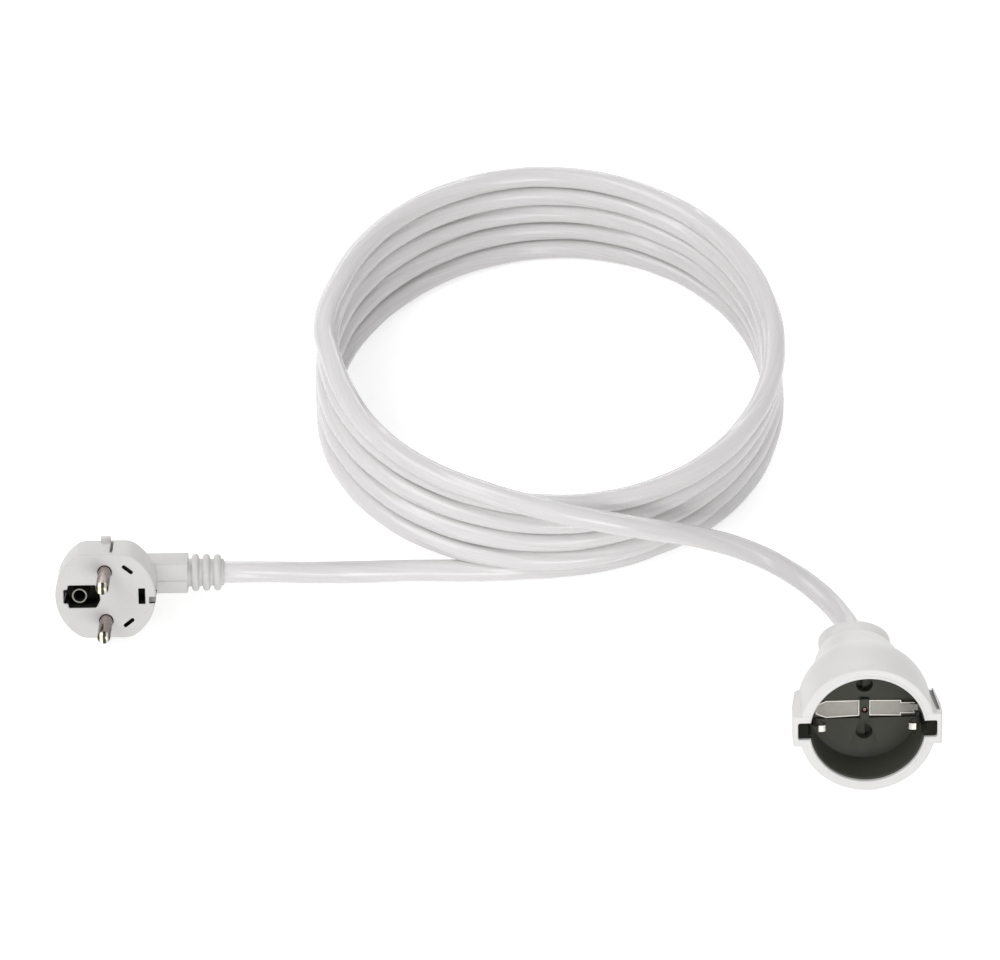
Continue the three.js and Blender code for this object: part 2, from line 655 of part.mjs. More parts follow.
// The cord's centre after a number of turns, counted from the front and against the clock.
function coilPoint(turns) {
  const angle = 2 * Math.PI * (turns - 0.25);
  const layer = climb(turns);
  const tucked = Math.max(0, 1 - turns / COIL_TUCK_TURNS);
  let uneven = COIL_WOBBLE * Math.sin(2 * Math.PI * 0.83 * turns);
  uneven += (COIL_SKEW - COIL_SKEW_LOSS * layer) * Math.sin(2 * angle);
  uneven -= COIL_TUCK * tucked * tucked * (3 - 2 * tucked);
  return new THREE.Vector3(
    COIL_CENTRE.x + COIL_LEAN.x * layer + (COIL_HALF_X - COIL_NARROWING * layer + uneven) * Math.cos(angle),
    COIL_CENTRE.y + COIL_LEAN.y * layer + (COIL_HALF_Y + uneven) * Math.sin(angle),
    COIL_REST + COIL_PITCH * layer,
  );
}

function coilDirection(turns) {
  const small = 1e-3;
  return coilPoint(turns + small).sub(coilPoint(turns - small)).normalize();
}

// Centres and directions along the coil, with a straight stretch of one diameter at each end.
function coilStations() {
  const stations = [];
  const count = Math.round(COIL_TURNS * COIL_STEPS);
  for (let i = 0; i <= count; i += 1) {
    const turns = (i * COIL_TURNS) / count;
    stations.push({ centre: coilPoint(turns), along: coilDirection(turns), turns });
  }
  const first = stations[0];
  const last = stations[count];
  const before = first.centre.clone().addScaledVector(first.along, -2 * CORD_R);
  const after = last.centre.clone().addScaledVector(last.along, 2 * CORD_R);
  stations.unshift({ centre: before, along: first.along, turns: first.turns });
  stations.push({ centre: after, along: last.along, turns: last.turns });
  return stations;
}

// The coil as one unbroken tube, its section upright all the way round.
function coilGeometry(stations) {
  const xyz = [];
  const index = [];
  const up = new THREE.Vector3(0, 0, 1);
  for (const { centre, along } of stations) {
    const out = along.clone().cross(up).normalize();
    const above = out.clone().cross(along).normalize();
    for (let i = 0; i < COIL_SIDES; i += 1) {
      const angle = (2 * Math.PI * i) / COIL_SIDES;
      const point = centre.clone().addScaledVector(out, COIL_SECTION_R * Math.cos(angle));
      point.addScaledVector(above, COIL_SECTION_R * Math.sin(angle));
      xyz.push(point.x, point.y, Math.max(point.z, 0));
    }
  }
  for (let ring = 0; ring + 1 < stations.length; ring += 1) {
    for (let i = 0; i < COIL_SIDES; i += 1) {
      const a = ring * COIL_SIDES + i;
      const b = ring * COIL_SIDES + ((i + 1) % COIL_SIDES);
      index.push(a, b + COIL_SIDES, b, a, a + COIL_SIDES, b + COIL_SIDES);
    }
  }
  const last = (stations.length - 1) * COIL_SIDES;
  for (let i = 1; i + 1 < COIL_SIDES; i += 1) {
    index.push(0, i, i + 1, last, last + i + 1, last + i);
  }
  const geometry = new THREE.BufferGeometry();
  geometry.setAttribute('position', new THREE.Float32BufferAttribute(xyz, 3));
  geometry.setIndex(index);
  return geometry;
}

// The least distance between the surfaces of two turns, from points along the cord's centre.
function leastCoilGap() {
  const samples = 240;
  let least = Infinity;
  for (let i = 0; i < COIL_TURNS * samples; i += 1) {
    const here = coilPoint(i / samples);
    for (let j = i + samples / 2; j < COIL_TURNS * samples; j += 1) {
      const between = coilPoint(j / samples).sub(here);
      const across = Math.hypot(between.x, between.y);
      const apart = Math.abs(between.z) - 2 * COIL_REST;
      least = Math.min(least, Math.max(apart, across - 2 * CORD_R));
    }
  }
  return least;
}

// A free stretch: straight at both ends, and never below the floor.
function freeStretch(points) {
  const curve = new THREE.CatmullRomCurve3(points.map((p) => new THREE.Vector3(...p)), false, 'centripetal');
  const steps = Math.ceil(curve.getLength() / CORD_STEP);
  const tube = solid(rod(points, CORD_R, CORD_SIDES, steps, Math.PI / CORD_SIDES));
  return { body: cut(tube, box(-400, 100, -100, 400, -50, 0)), length: curve.getLength() };
}

// Points chosen along the cord from the plug to the coil and from the coil to the coupling.
const PLUG_ROUTE = [
  [-216, 68.35, 10.4], [-201, 71.35, 7], [-184, 73.85, 4.8], [-165, 75.05, 4], [-145, 75.25, 3.8],
];
const SOCKET_ROUTE = [
  [-198, 170.35, 40.8], [-195, 152.85, 41.6], [-188, 128.85, 42.8], [-176.5, 106.85, 43.6],
  [-158, 87.85, 44.2], [-136.5, 75.35, 44.7], [-114, 67.35, 43.8], [-97, 65.35, 40.6], [-75.5, 67.35, 33.4],
  [-56.5, 73.85, 22.6], [-38, 76.0, 13.4], [-23, 71.75, 7.4], [-11.8, 62.65, 4.65], [-4.3, 50.45, 4.65],
  [-1.45, 42.15, 5.85],
];

function along(start, direction, distance) {
  return start.clone().addScaledVector(direction, distance).toArray();
}

// ---------------------------------------------------------------- where things lie
// A fitting lies with its front tipped up and rests on the floor; the cord leaves where exit says.
function laid(meshes, { tip, roll, turn, at }) {
  const rolled = new THREE.Group();
  rolled.add(...meshes);
  rolled.rotation.z = roll * DEG;
  const tipped = new THREE.Group();
  tipped.add(rolled);
  tipped.rotation.x = Math.PI / 2 - tip * DEG;
  const group = new THREE.Group();
  group.add(tipped);
  group.rotation.z = turn * DEG;
  group.updateMatrixWorld(true);
  const bounds = new THREE.Box3().setFromObject(group, true);
  if (at) {
    group.position.set(at[0], at[1], -bounds.min.z);
  } else {
    const middle = bounds.getCenter(new THREE.Vector3());
    group.position.set(-middle.x, -middle.y, -bounds.min.z);
  }
  group.updateMatrixWorld(true);
  return { group, inner: rolled };
}

function exitOf(inner, point, direction) {
  const here = inner.localToWorld(new THREE.Vector3(...point));
  const there = inner.localToWorld(new THREE.Vector3(...point).add(new THREE.Vector3(...direction)));
  return { point: here, direction: there.sub(here).normalize() };
}

const socket = laid(socketMeshes(), { tip: 18.8, roll: 1.1, turn: 0.6 });
const plug = laid(plugMeshes(), { tip: 25.3, roll: 0, turn: 1.2, at: [-275.7, 43.65] });
const plugExit = exitOf(plug.inner, [PLUG_EXIT, 0, -PLUG_AXIS_BACK], [1, 0, 0]);
const socketExit = exitOf(socket.inner, [0, 0, -SOCKET_THROAT], [0, 0, -1]);

const stations = coilStations();
const coilStart = stations[0];
const coilEnd = stations[stations.length - 1];
const plugLead = freeStretch([
  along(plugExit.point, plugExit.direction, GAP), along(plugExit.point, plugExit.direction, 2 * CORD_R),
  ...PLUG_ROUTE,
  along(coilStart.centre, coilStart.along, -2 * CORD_R - GAP), along(coilStart.centre, coilStart.along, -GAP),
]);
const socketLead = freeStretch([
  along(coilEnd.centre, coilEnd.along, GAP), along(coilEnd.centre, coilEnd.along, 2 * CORD_R + GAP),
  ...SOCKET_ROUTE,
  along(socketExit.point, socketExit.direction, 3), along(socketExit.point, socketExit.direction, GAP),
]);

const coilLength = stations.slice(1).reduce((sum, s, i) => sum + s.centre.distanceTo(stations[i].centre), 0);
const metres = (mm) => (mm / 1000).toFixed(3);
console.log(`least gap between turns of the coil: ${leastCoilGap().toFixed(2)} mm`);
console.log(`cord: ${metres(plugLead.length + coilLength + socketLead.length)} m from plug to coupling`);
const shown = (vector) => vector.toArray().map((v) => v.toFixed(3)).join(', ');
console.log(`plug end ${shown(plugExit.point)}, facing ${shown(plugExit.direction)}`);
console.log(`coupling end ${shown(socketExit.point)}, facing ${shown(socketExit.direction)}`);
console.log(`coil start ${shown(coilStart.centre)}, end ${shown(coilEnd.centre)}, facing ${shown(coilEnd.along)}`);
const rim = exitOf(socket.inner, [0, 0, 0], [0, 0, 1]);
const face = exitOf(plug.inner, [0, 0, 0], [0, 0, 1]);
console.log(`coupling rim ${shown(rim.point)}, facing ${shown(rim.direction)}`);
console.log(`plug face ${shown(face.point)}, facing ${shown(face.direction)}`);

const cord = new THREE.Group();
cord.add(
  node('cord_plug_lead', plugLead.body, CORD_WHITE),
  node('cord_coil', coilGeometry(stations), CORD_WHITE),
  node('cord_socket_lead', socketLead.body, CORD_WHITE),
);

const extensionCord = new THREE.Group();
extensionCord.add(socket.group, plug.group, cord);
export default extensionCord;
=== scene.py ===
"""Coiled mains extension cord: the visual model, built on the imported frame.

Sizes inside a fitting are millimetres in that fitting's own frame, and become metres in the row's
frame when its mesh is placed. The plug's frame has its face in z = 0, pins along +Z and the cord
along +X. The socket's frame has its rim in z = 0, the recess facing +Z and the cord along -Z.
"""
import math

import bmesh
import bpy
from bpy.props import FloatProperty, FloatVectorProperty, IntProperty, PointerProperty
from bpy.types import Operator, Panel, PropertyGroup
from mathutils import Matrix, Vector
from mathutils.geometry import interpolate_bezier


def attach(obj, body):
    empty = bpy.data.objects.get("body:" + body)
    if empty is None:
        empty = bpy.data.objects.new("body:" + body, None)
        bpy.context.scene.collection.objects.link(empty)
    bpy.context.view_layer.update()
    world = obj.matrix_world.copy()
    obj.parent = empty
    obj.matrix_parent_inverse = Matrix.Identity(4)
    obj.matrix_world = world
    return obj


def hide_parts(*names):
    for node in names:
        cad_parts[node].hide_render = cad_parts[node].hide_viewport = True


bl_info = {
    "name": "Extension cord",
    "version": (1, 0, 0),
    "blender": (4, 5, 0),
    "location": "3D View > Sidebar > Extension cord",
    "description": "Builds a coiled mains extension cord with its angled plug and in-line socket",
    "category": "Object",
}

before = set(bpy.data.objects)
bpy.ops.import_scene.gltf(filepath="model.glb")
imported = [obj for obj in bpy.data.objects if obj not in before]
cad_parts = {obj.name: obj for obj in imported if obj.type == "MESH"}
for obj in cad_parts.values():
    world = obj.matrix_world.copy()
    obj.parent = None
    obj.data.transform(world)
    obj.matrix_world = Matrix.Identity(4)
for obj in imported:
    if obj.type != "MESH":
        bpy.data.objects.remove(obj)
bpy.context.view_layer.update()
MM = 0.001


# ------------------------------------------------------------------ where the fittings lie
def fitting_frame(x, y, z, tip, turn, roll=0.0):
    """A fitting's own frame in millimetres, as the row's frame in metres."""
    place = Matrix.Translation((x * MM, y * MM, z * MM))
    place = place @ Matrix.Rotation(math.radians(turn), 4, "Z")
    place = place @ Matrix.Rotation(math.radians(90 - tip), 4, "X")
    return place @ Matrix.Rotation(math.radians(roll), 4, "Z") @ Matrix.Scale(MM, 4)


PLUG = fitting_frame(-275.700, 43.650, 22.049, tip=25.3, turn=1.2)
SOCKET = fitting_frame(0.081, -31.704, 30.326, tip=18.8, turn=0.6, roll=1.1)

PLUG_EXIT = 42.8
PLUG_AXIS_BACK = 25.0
SOCKET_THROAT = 66.0
PIN_OFFSET = 9.5
PIN_RADIUS = 2.4
EARTH_OFFSET = 9.6

# ------------------------------------------------------------------ the cord's way, in metres
# The coil was wound by hand: it leans, narrows upwards, isn't quite oval, and starts tucked in.
COIL_CENTRE = (-0.1120, 0.16375)
COIL_HALF = (0.0859, 0.0930)
COIL_PITCH = 0.00825
COIL_CLIMB_FROM = 0.55
COIL_TURNS = 4.7
COIL_LEAN = (0.00024, 0.0015)
COIL_NARROWING = 0.0002
COIL_SKEW = 0.0031
COIL_SKEW_LOSS = 0.00105
COIL_WOBBLE = 0.0007
COIL_WOBBLES_PER_TURN = 0.83
COIL_TUCK = 0.0063
COIL_TUCK_TURNS = 0.2
COIL_POINTS_PER_TURN = 24
COIL_REST = 0.00412
CORD_RADIUS = 0.00412
CORD_VALLEY = 0.00042
CORD_LAY = 0.30

# Points along the floor from the plug to the coil, and from the coil over its front to the socket.
PLUG_ROUTE = [
    (-0.21600, 0.06835, 0.0104), (-0.20100, 0.07135, 0.0070), (-0.18400, 0.07385, 0.0048),
    (-0.16500, 0.07505, 0.0042), (-0.14500, 0.07525, 0.0042),
]
SOCKET_ROUTE = [
    (-0.19800, 0.17035, 0.0408), (-0.19500, 0.15285, 0.0416), (-0.18800, 0.12885, 0.0428),
    (-0.17650, 0.10685, 0.0436), (-0.15800, 0.08785, 0.0442), (-0.13650, 0.07535, 0.0447),
    (-0.11400, 0.06735, 0.0438), (-0.09700, 0.06535, 0.0406), (-0.07550, 0.06735, 0.0334),
    (-0.05650, 0.07385, 0.0226), (-0.03800, 0.07600, 0.0134), (-0.02300, 0.07175, 0.0074),
    (-0.01180, 0.06265, 0.00465), (-0.00430, 0.05045, 0.00465), (-0.00145, 0.04215, 0.00585),
]
# The cord's points inside the fittings, in millimetres of their own frames.
IN_SOCKET = (-50.0, -58.0, -SOCKET_THROAT, -SOCKET_THROAT - 3.0)
IN_PLUG = (PLUG_EXIT + 8.0, PLUG_EXIT, 35.0, 25.0, 15.0)
# How far straight behind the coil's start its two last points lie.
BEFORE_COIL = (0.008, 0.016)


def smooth_step(part):
    """0 to 1 as part goes from 0 to 1, level at both ends."""
    return part * part * (3 - 2 * part)


def coil_layer(turns):
    """How many layers the coil has risen after a number of turns."""
    whole = math.floor(turns)
    return whole + smooth_step(max(0.0, (turns - whole - COIL_CLIMB_FROM) / (1 - COIL_CLIMB_FROM)))


def coil_point(turns):
    """The cord's centre after a number of turns, counted from the front and against the clock."""
    angle = math.tau * (turns - 0.25)
    layer = coil_layer(turns)
    uneven = COIL_WOBBLE * math.sin(math.tau * COIL_WOBBLES_PER_TURN * turns)
    uneven += (COIL_SKEW - COIL_SKEW_LOSS * layer) * math.sin(2 * angle)
    uneven -= COIL_TUCK * smooth_step(max(0.0, 1 - turns / COIL_TUCK_TURNS))
    half_x = COIL_HALF[0] - COIL_NARROWING * layer + uneven
    half_y = COIL_HALF[1] + uneven
    return Vector((
        COIL_CENTRE[0] + COIL_LEAN[0] * layer + half_x * math.cos(angle),
        COIL_CENTRE[1] + COIL_LEAN[1] * layer + half_y * math.sin(angle),
        COIL_REST + COIL_PITCH * layer,
    ))


def cord_points():
    """Points along the whole cord, from inside the socket to inside the plug."""
    count = round(COIL_TURNS * COIL_POINTS_PER_TURN)
    start = coil_point(0.0)
    back = (start - coil_point(0.001)).normalized()
    return [
        *(SOCKET @ Vector((0, 0, z)) for z in IN_SOCKET),
        *(Vector(point) for point in reversed(SOCKET_ROUTE)),
        *(coil_point(COIL_TURNS * number / count) for number in range(count, -1, -1)),
        *(start + back * distance for distance in BEFORE_COIL),
        *(Vector(point) for point in reversed(PLUG_ROUTE)),
        *(PLUG @ Vector((x, 0, -PLUG_AXIS_BACK)) for x in IN_PLUG),
    ]


# ------------------------------------------------------------------ meshes
QUARTER_ROUND = [math.radians(angle) for angle in (0, 22.5, 45, 67.5, 90)]
SHARP_ANGLE = 32.0


def softened(line, rounds=2):
    """A row of points, or of sections, with its corners cut off again and again."""
    line = [Vector(point) for point in line]
    for _ in range(rounds):
        cut = [line[0]]
        for here, there in zip(line, line[1:]):
            cut += [here.lerp(there, 0.25), here.lerp(there, 0.75)]
        line = cut + [line[-1]]
    return line


def flattened(y, flat, soft=1.0):
    """A height held below flat, which eases into it instead of turning a corner."""
    near = max(0.0, soft - abs(flat - abs(y)))
    return math.copysign(min(abs(y), flat) - near * near / (4 * soft), y)


def ring(bm, sides, z, half_x, half_y, flat=None):
    """A closed ring of edges in one plane; flat cuts it off above and below."""
    made = bmesh.ops.create_circle(bm, segments=sides, radius=1.0)["verts"]
    for vert in made:
        y = vert.co.y * half_y
        vert.co = (vert.co.x * half_x, y if flat is None else flattened(y, flat), z)
    return list({edge for vert in made for edge in vert.link_edges})


def loft(sections, sides):
    """A skin over rings (z, half x, half y) or (z, half x, half y, flat), closed at both ends."""
    bm = bmesh.new()
    rings = [ring(bm, sides, *section) for section in sections]
    for lower, upper in zip(rings, rings[1:]):
        bmesh.ops.bridge_loops(bm, edges=lower + upper)
    for end in (rings[0], rings[-1]):
        bmesh.ops.contextual_create(bm, geom=end)
    bmesh.ops.recalc_face_normals(bm, faces=bm.faces)
    return bm


def turned(profile, sides):
    """A lathe shape about Z from (radius, z) pairs that start and end on the axis."""
    bm = bmesh.new()
    verts = [bm.verts.new((r, 0.0, z)) for r, z in profile]
    edges = [bm.edges.new(pair) for pair in zip(verts, verts[1:])]
    bmesh.ops.spin(
        bm, geom=verts + edges, cent=(0, 0, 0), axis=(0, 0, 1), angle=math.tau, steps=sides,
        use_merge=True,
    )
    bmesh.ops.remove_doubles(bm, verts=bm.verts, dist=1e-4)
    bmesh.ops.recalc_face_normals(bm, faces=bm.faces)
    return bm


def rod(radius, low, high, sides=40):
    return turned([(0, low), (radius, low), (radius, high), (0, high)], sides)


def rounded(bm, geom, radius, segments, affect="EDGES"):
    """The shape with some of its edges or corners rounded."""
    bmesh.ops.bevel(
        bm, geom=geom, offset=radius, segments=segments, profile=0.5, affect=affect, material=-1,
        clamp_overlap=True,
    )
    return bm


def block(low, high, soft=0.0):
    """A box between two corners, with all its edges rounded by soft."""
    bm = bmesh.new()
    bmesh.ops.create_cube(bm, size=1.0)
    bmesh.ops.scale(bm, vec=Vector(high) - Vector(low), verts=bm.verts)
    bmesh.ops.translate(bm, vec=(Vector(low) + Vector(high)) / 2, verts=bm.verts)
    return rounded(bm, bm.edges[:], soft, 2) if soft else bm


def side_block(side, low, high, soft=0.0):
    """A box given for the right side, where side is 1, or its mirror image, where side is -1."""
    left, right = sorted((side * low[0], side * high[0]))
    return block((left, *low[1:]), (right, *high[1:]), soft)


def rectangle(half_x, half_y):
    return [(-half_x, -half_y), (half_x, -half_y), (half_x, half_y), (-half_x, half_y)]


def slab(outline, z0, z1, corner=0.0, mouth=0.0):
    """A prism over an outline, with its upright edges rounded by corner. With a mouth it is a tool
    for a chamfered cut: it widens from that depth below z1 and runs on above it."""
    bm = bmesh.new()
    face = bm.faces.new([bm.verts.new((x, y, z0)) for x, y in outline])
    if corner:
        rounded(bm, list(face.verts), corner, 3, "VERTICES")
        face = bm.faces[:][0]
    for number, level in enumerate([z1 - mouth, z1 + 1.0] if mouth else [z1]):
        grown = bmesh.ops.extrude_face_region(bm, geom=[face])["geom"]
        top = [item for item in grown if isinstance(item, bmesh.types.BMVert)]
        rise = level - top[0].co.z
        bmesh.ops.translate(bm, vec=(0, 0, rise), verts=top)
        if number:
            bmesh.ops.delete(bm, geom=[face], context="FACES_ONLY")
            centre = sum((vert.co for vert in top), Vector()) / len(top)
            half_x = max(abs(vert.co.x - centre.x) for vert in top)
            half_y = max(abs(vert.co.y - centre.y) for vert in top)
            factor = Vector(((half_x + rise) / half_x, (half_y + rise) / half_y, 1.0))
            bmesh.ops.scale(bm, vec=factor, space=Matrix.Translation(-centre), verts=top)
        face = next(item for item in grown if isinstance(item, bmesh.types.BMFace))
    bmesh.ops.recalc_face_normals(bm, faces=bm.faces)
    return bm


def plate(outline, half_width, soft=0.0):
    """A plate over an outline in X and Z, centred on y = 0, with all its edges rounded by soft."""
    bm = moved(slab(outline, -half_width, half_width), Matrix.Rotation(math.pi / 2, 4, "X"))
    return rounded(bm, bm.edges[:], soft, 3) if soft else bm


def strip(line, thickness, width):
    """Bent sheet metal that follows a line in X and Z."""
    bm = bmesh.new()
    verts = [bm.verts.new(point) for point in softened([(x, -width / 2, z) for x, z in line])]
    edges = [bm.edges.new(pair) for pair in zip(verts, verts[1:])]
    grown = bmesh.ops.extrude_edge_only(bm, edges=edges)["geom"]
    far = [item for item in grown if isinstance(item, bmesh.types.BMVert)]
    bmesh.ops.translate(bm, vec=(0, width, 0), verts=far)
    bmesh.ops.recalc_face_normals(bm, faces=bm.faces)
    bmesh.ops.solidify(bm, geom=bm.faces[:], thickness=thickness)
    bmesh.ops.recalc_face_normals(bm, faces=bm.faces)
    return bm


def mirrored(points, side):
    """An outline or a line given for the right side, where side is 1, or for the left."""
    return [(side * x, z) for x, z in points]


def moved(bm, matrix):
    bmesh.ops.transform(bm, matrix=matrix, verts=bm.verts)
    return bm


def shifted(bm, x, y):
    return moved(bm, Matrix.Translation((x, y, 0.0)))


def shade_painted_below(bm, below=-0.3):
    """A shape whose faces have the second material, painted shade, below a height. As a cutting
    tool it paints the cut's walls with that shade."""
    for face in bm.faces:
        face.material_index = int(face.calc_center_median().z < below)
    return bm


def merged(*parts):
    """Several shapes in one, without joining their skins."""
    whole = bmesh.new()
    for part in parts:
        held = bpy.data.meshes.new("held")
        part.to_mesh(held)
        part.free()
        whole.from_mesh(held)
        bpy.data.meshes.remove(held)
    return whole


def added(name, data):
    """A new object of the scene, at its origin."""
    made = bpy.data.objects.new(name, data)
    bpy.context.scene.collection.objects.link(made)
    return made


def scratch_object(bm, name="scratch"):
    """An object with two empty material slots, without which a cut drops the tool's painted shade.
    """
    mesh = bpy.data.meshes.new(name)
    mesh.materials.append(None)
    mesh.materials.append(None)
    bm.to_mesh(mesh)
    bm.free()
    return added(name, mesh)


def discard(piece):
    mesh = piece.data
    bpy.data.objects.remove(piece)
    bpy.data.meshes.remove(mesh)


def evaluated(piece):
    """An object's mesh as it stands after its modifiers, which belongs to the caller."""
    bpy.context.view_layer.update()
    graph = bpy.context.evaluated_depsgraph_get()
    return bpy.data.meshes.new_from_object(piece.evaluated_get(graph))


def combined(base, parts, how):
    """base joined with or cut by each of the parts; how is UNION or DIFFERENCE."""
    body = scratch_object(base)
    tools = [scratch_object(part) for part in parts]
    for tool in tools:
        step = body.modifiers.new(how.lower(), "BOOLEAN")
        step.operation = how
        step.solver = "EXACT"
        step.object = tool
    mesh = evaluated(body)
    result = bmesh.new()
    result.from_mesh(mesh)
    bpy.data.meshes.remove(mesh)
    for item in [body, *tools]:
        discard(item)
    bmesh.ops.remove_doubles(result, verts=result.verts, dist=1e-4)
    return result


def smooth(mesh, angle):
    """Shades a mesh smooth, apart from edges sharper than the angle."""
    mesh.shade_smooth()
    bm = bmesh.new()
    bm.from_mesh(mesh)
    limit = math.radians(angle)
    for edge in bm.edges:
        edge.smooth = len(edge.link_faces) == 2 and edge.calc_face_angle(math.pi) < limit
    bm.to_mesh(mesh)
    bm.free()


def placed(name, bm, where, finish, slot, *nodes, shade_finish=None, angle=SHARP_ANGLE):
    """Makes a fitting's shape a finished piece that stands for CAD nodes. Its second finish is
    painted shade.
    """
    mesh = bpy.data.meshes.new(name)
    moved(bm, where).to_mesh(mesh)
    bm.free()
    mesh.materials.append(finish_of(finish))
    if shade_finish:
        mesh.materials.append(finish_of(shade_finish))
    smooth(mesh, angle)
    piece = added(name, mesh)
    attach(piece, "cord_set")
    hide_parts(*nodes)


# ------------------------------------------------------------------ materials
def linear(red, green, blue):
    """A colour as it looks on a screen, 0 to 255, in linear light."""
    parts = [value / 255 for value in (red, green, blue)]
    return [v / 12.92 if v <= 0.04045 else ((v + 0.055) / 1.055) ** 2.4 for v in parts]


def shade(colour, factor):
    return [min(1.0, value * factor) for value in colour]


def filled(node, **values):
    """The node with its sockets, or else its settings, set; a socket's spaces are underscores."""
    for key, value in values.items():
        socket = key.replace("_", " ")
        if socket in node.inputs:
            node.inputs[socket].default_value = value
        else:
            setattr(node, key, value)
    return node


class Shader:
    """A Principled material and the nodes that feed it."""

    def __init__(self, name, colour, roughness, **values):
        self.material = bpy.data.materials.new(name)
        self.material.use_nodes = True
        self.material.diffuse_color = (*colour, 1.0)
        self.tree = self.material.node_tree
        surface = self.tree.nodes["Principled BSDF"]
        filled(surface, Base_Color=(*colour, 1.0), Roughness=roughness, **values)
        self.surface = surface.inputs

    def node(self, kind, source=None, **values):
        """A new node with the source linked to its first socket."""
        made = filled(self.tree.nodes.new(kind), **values)
        if source is not None:
            self.link(source, made.inputs[0])
        return made

    def link(self, source, target):
        self.tree.links.new(source, target)

    def object_space(self, **values):
        """The place on the piece, seen through a Mapping node with these values."""
        where = self.node("ShaderNodeTexCoord").outputs["Object"]
        return self.node("ShaderNodeMapping", where, **values).outputs["Vector"]

    def split(self, vector):
        """The X, Y and Z of a place."""
        return self.node("ShaderNodeSeparateXYZ", vector).outputs

    def maths(self, operation, value, number=None):
        """One step of arithmetic on a value."""
        made = self.node("ShaderNodeMath", value, operation=operation)
        if number is not None:
            made.inputs[1].default_value = number
        return made.outputs["Value"]

    def noise(self, where, scale, detail=3.0, roughness=0.5):
        values = dict(Scale=scale, Detail=detail, Roughness=roughness)
        return self.node("ShaderNodeTexNoise", where, **values).outputs["Fac"]

    def ranged(self, value, low, high, first=0.0, last=1.0, **values):
        """A number that goes from first to last as the value goes from low to high."""
        values |= dict(From_Min=low, From_Max=high, To_Min=first, To_Max=last)
        return self.node("ShaderNodeMapRange", value, **values).outputs["Result"]

    def spread(self, noise, first=0.0, last=1.0):
        """A noise, which seldom leaves its middle half, drawn out from first to last."""
        return self.ranged(noise, 0.25, 0.75, first, last)

    def ramp(self, value, stops):
        """A colour that changes along a 0 to 1 value; stops are (place, colour) pairs in order."""
        made = self.node("ShaderNodeValToRGB", value)
        while len(made.color_ramp.elements) < len(stops):
            made.color_ramp.elements.new(1.0)
        for element, (place, colour) in zip(made.color_ramp.elements, stops):
            element.position = place
            element.color = (*colour, 1.0)
        return made.outputs["Color"]

    def tint(self, value, first, second):
        """Base colour between two others, which are colours or sockets."""
        mix = self.node("ShaderNodeMix", value, data_type="RGBA")
        ends = [socket for socket in mix.inputs if socket.type == "RGBA"]
        for end, colour in zip(ends, (first, second)):
            if isinstance(colour, bpy.types.NodeSocket):
                self.link(colour, end)
            else:
                end.default_value = (*colour, 1.0)
        result = next(socket for socket in mix.outputs if socket.type == "RGBA")
        self.link(result, self.surface["Base Color"])

    def clouded(self, noise, colour, darkest, lightest):
        self.tint(self.spread(noise), shade(colour, darkest), shade(colour, lightest))

    def dulled(self, noise, least, most):
        self.link(self.spread(noise, least, most), self.surface["Roughness"])

    def bump(self, distance, *heights):
        """Relief from several (height, strength) pairs, one laid on another."""
        normal = None
        for height, strength in heights:
            made = self.node("ShaderNodeBump", Strength=strength, Distance=distance)
            self.link(height, made.inputs["Height"])
            if normal is not None:
                self.link(normal, made.inputs["Normal"])
            normal = made.outputs["Normal"]
        self.link(normal, self.surface["Normal"])


def moulded(name, colour, roughness, grain=0.12, shine=0.5):
    """Injection moulded plastic: faintly clouded, finely grained, in places duller or shinier."""
    look = Shader(name, colour, roughness, Specular_IOR_Level=shine)
    where = look.object_space()
    look.clouded(look.noise(where, scale=55.0, detail=4.0), colour, 0.965, 1.02)
    look.dulled(look.noise(where, scale=160.0), roughness - 0.05, roughness + 0.06)
    flow = look.noise(where, scale=130.0, detail=2.0)
    fine = look.noise(where, scale=2600.0, detail=2.0)
    look.bump(0.00025, (flow, 0.10), (fine, grain))
    return look.material


def sheath(name, colour, roughness):
    """Extruded cord sheath: long faint draw lines in relief, whose colour is streaked as painted
    shade, and bands where the cores press from inside.
    """
    look = Shader(name, colour, roughness, Coat_Weight=0.35, Coat_Roughness=0.14)
    skin = look.split(look.node("ShaderNodeUVMap", uv_map="UVMap").outputs["UV"])
    angle = look.maths("MULTIPLY", skin["Y"], math.tau)
    join = look.node("ShaderNodeCombineXYZ")
    look.link(look.maths("COSINE", angle), join.inputs["X"])
    look.link(look.maths("SINE", angle), join.inputs["Y"])
    look.link(look.maths("MULTIPLY", skin["X"], 26.0), join.inputs["Z"])
    around = join.outputs["Vector"]
    lines = look.noise(around, scale=5.5, roughness=0.62)
    bands = look.noise(around, scale=1.6, detail=1.0)
    grain = look.noise(look.object_space(), scale=2400.0, detail=2.0)
    # Painted shade: the colour is streaked darker and lighter along the draw lines.
    look.clouded(lines, colour, 0.93, 1.03)
    look.dulled(bands, roughness - 0.07, roughness + 0.08)
    look.bump(0.0003, (bands, 0.5), (lines, 0.35), (grain, 0.14))
    return look.material


def metal(name, colour, roughness, stretch=(1.0, 1.0, 1.0)):
    """Plated or drawn metal with fine drawn lines and slight staining."""
    look = Shader(name, colour, roughness, Metallic=1.0)
    lines = look.noise(look.object_space(Scale=stretch), scale=900.0, detail=4.0, roughness=0.6)
    look.clouded(look.noise(look.object_space(), scale=260.0), colour, 0.88, 1.06)
    look.dulled(lines, roughness - 0.07, roughness + 0.10)
    look.bump(0.0001, (lines, 0.10))
    return look.material


PIN_TIP_BAND = (17.2, 17.7)


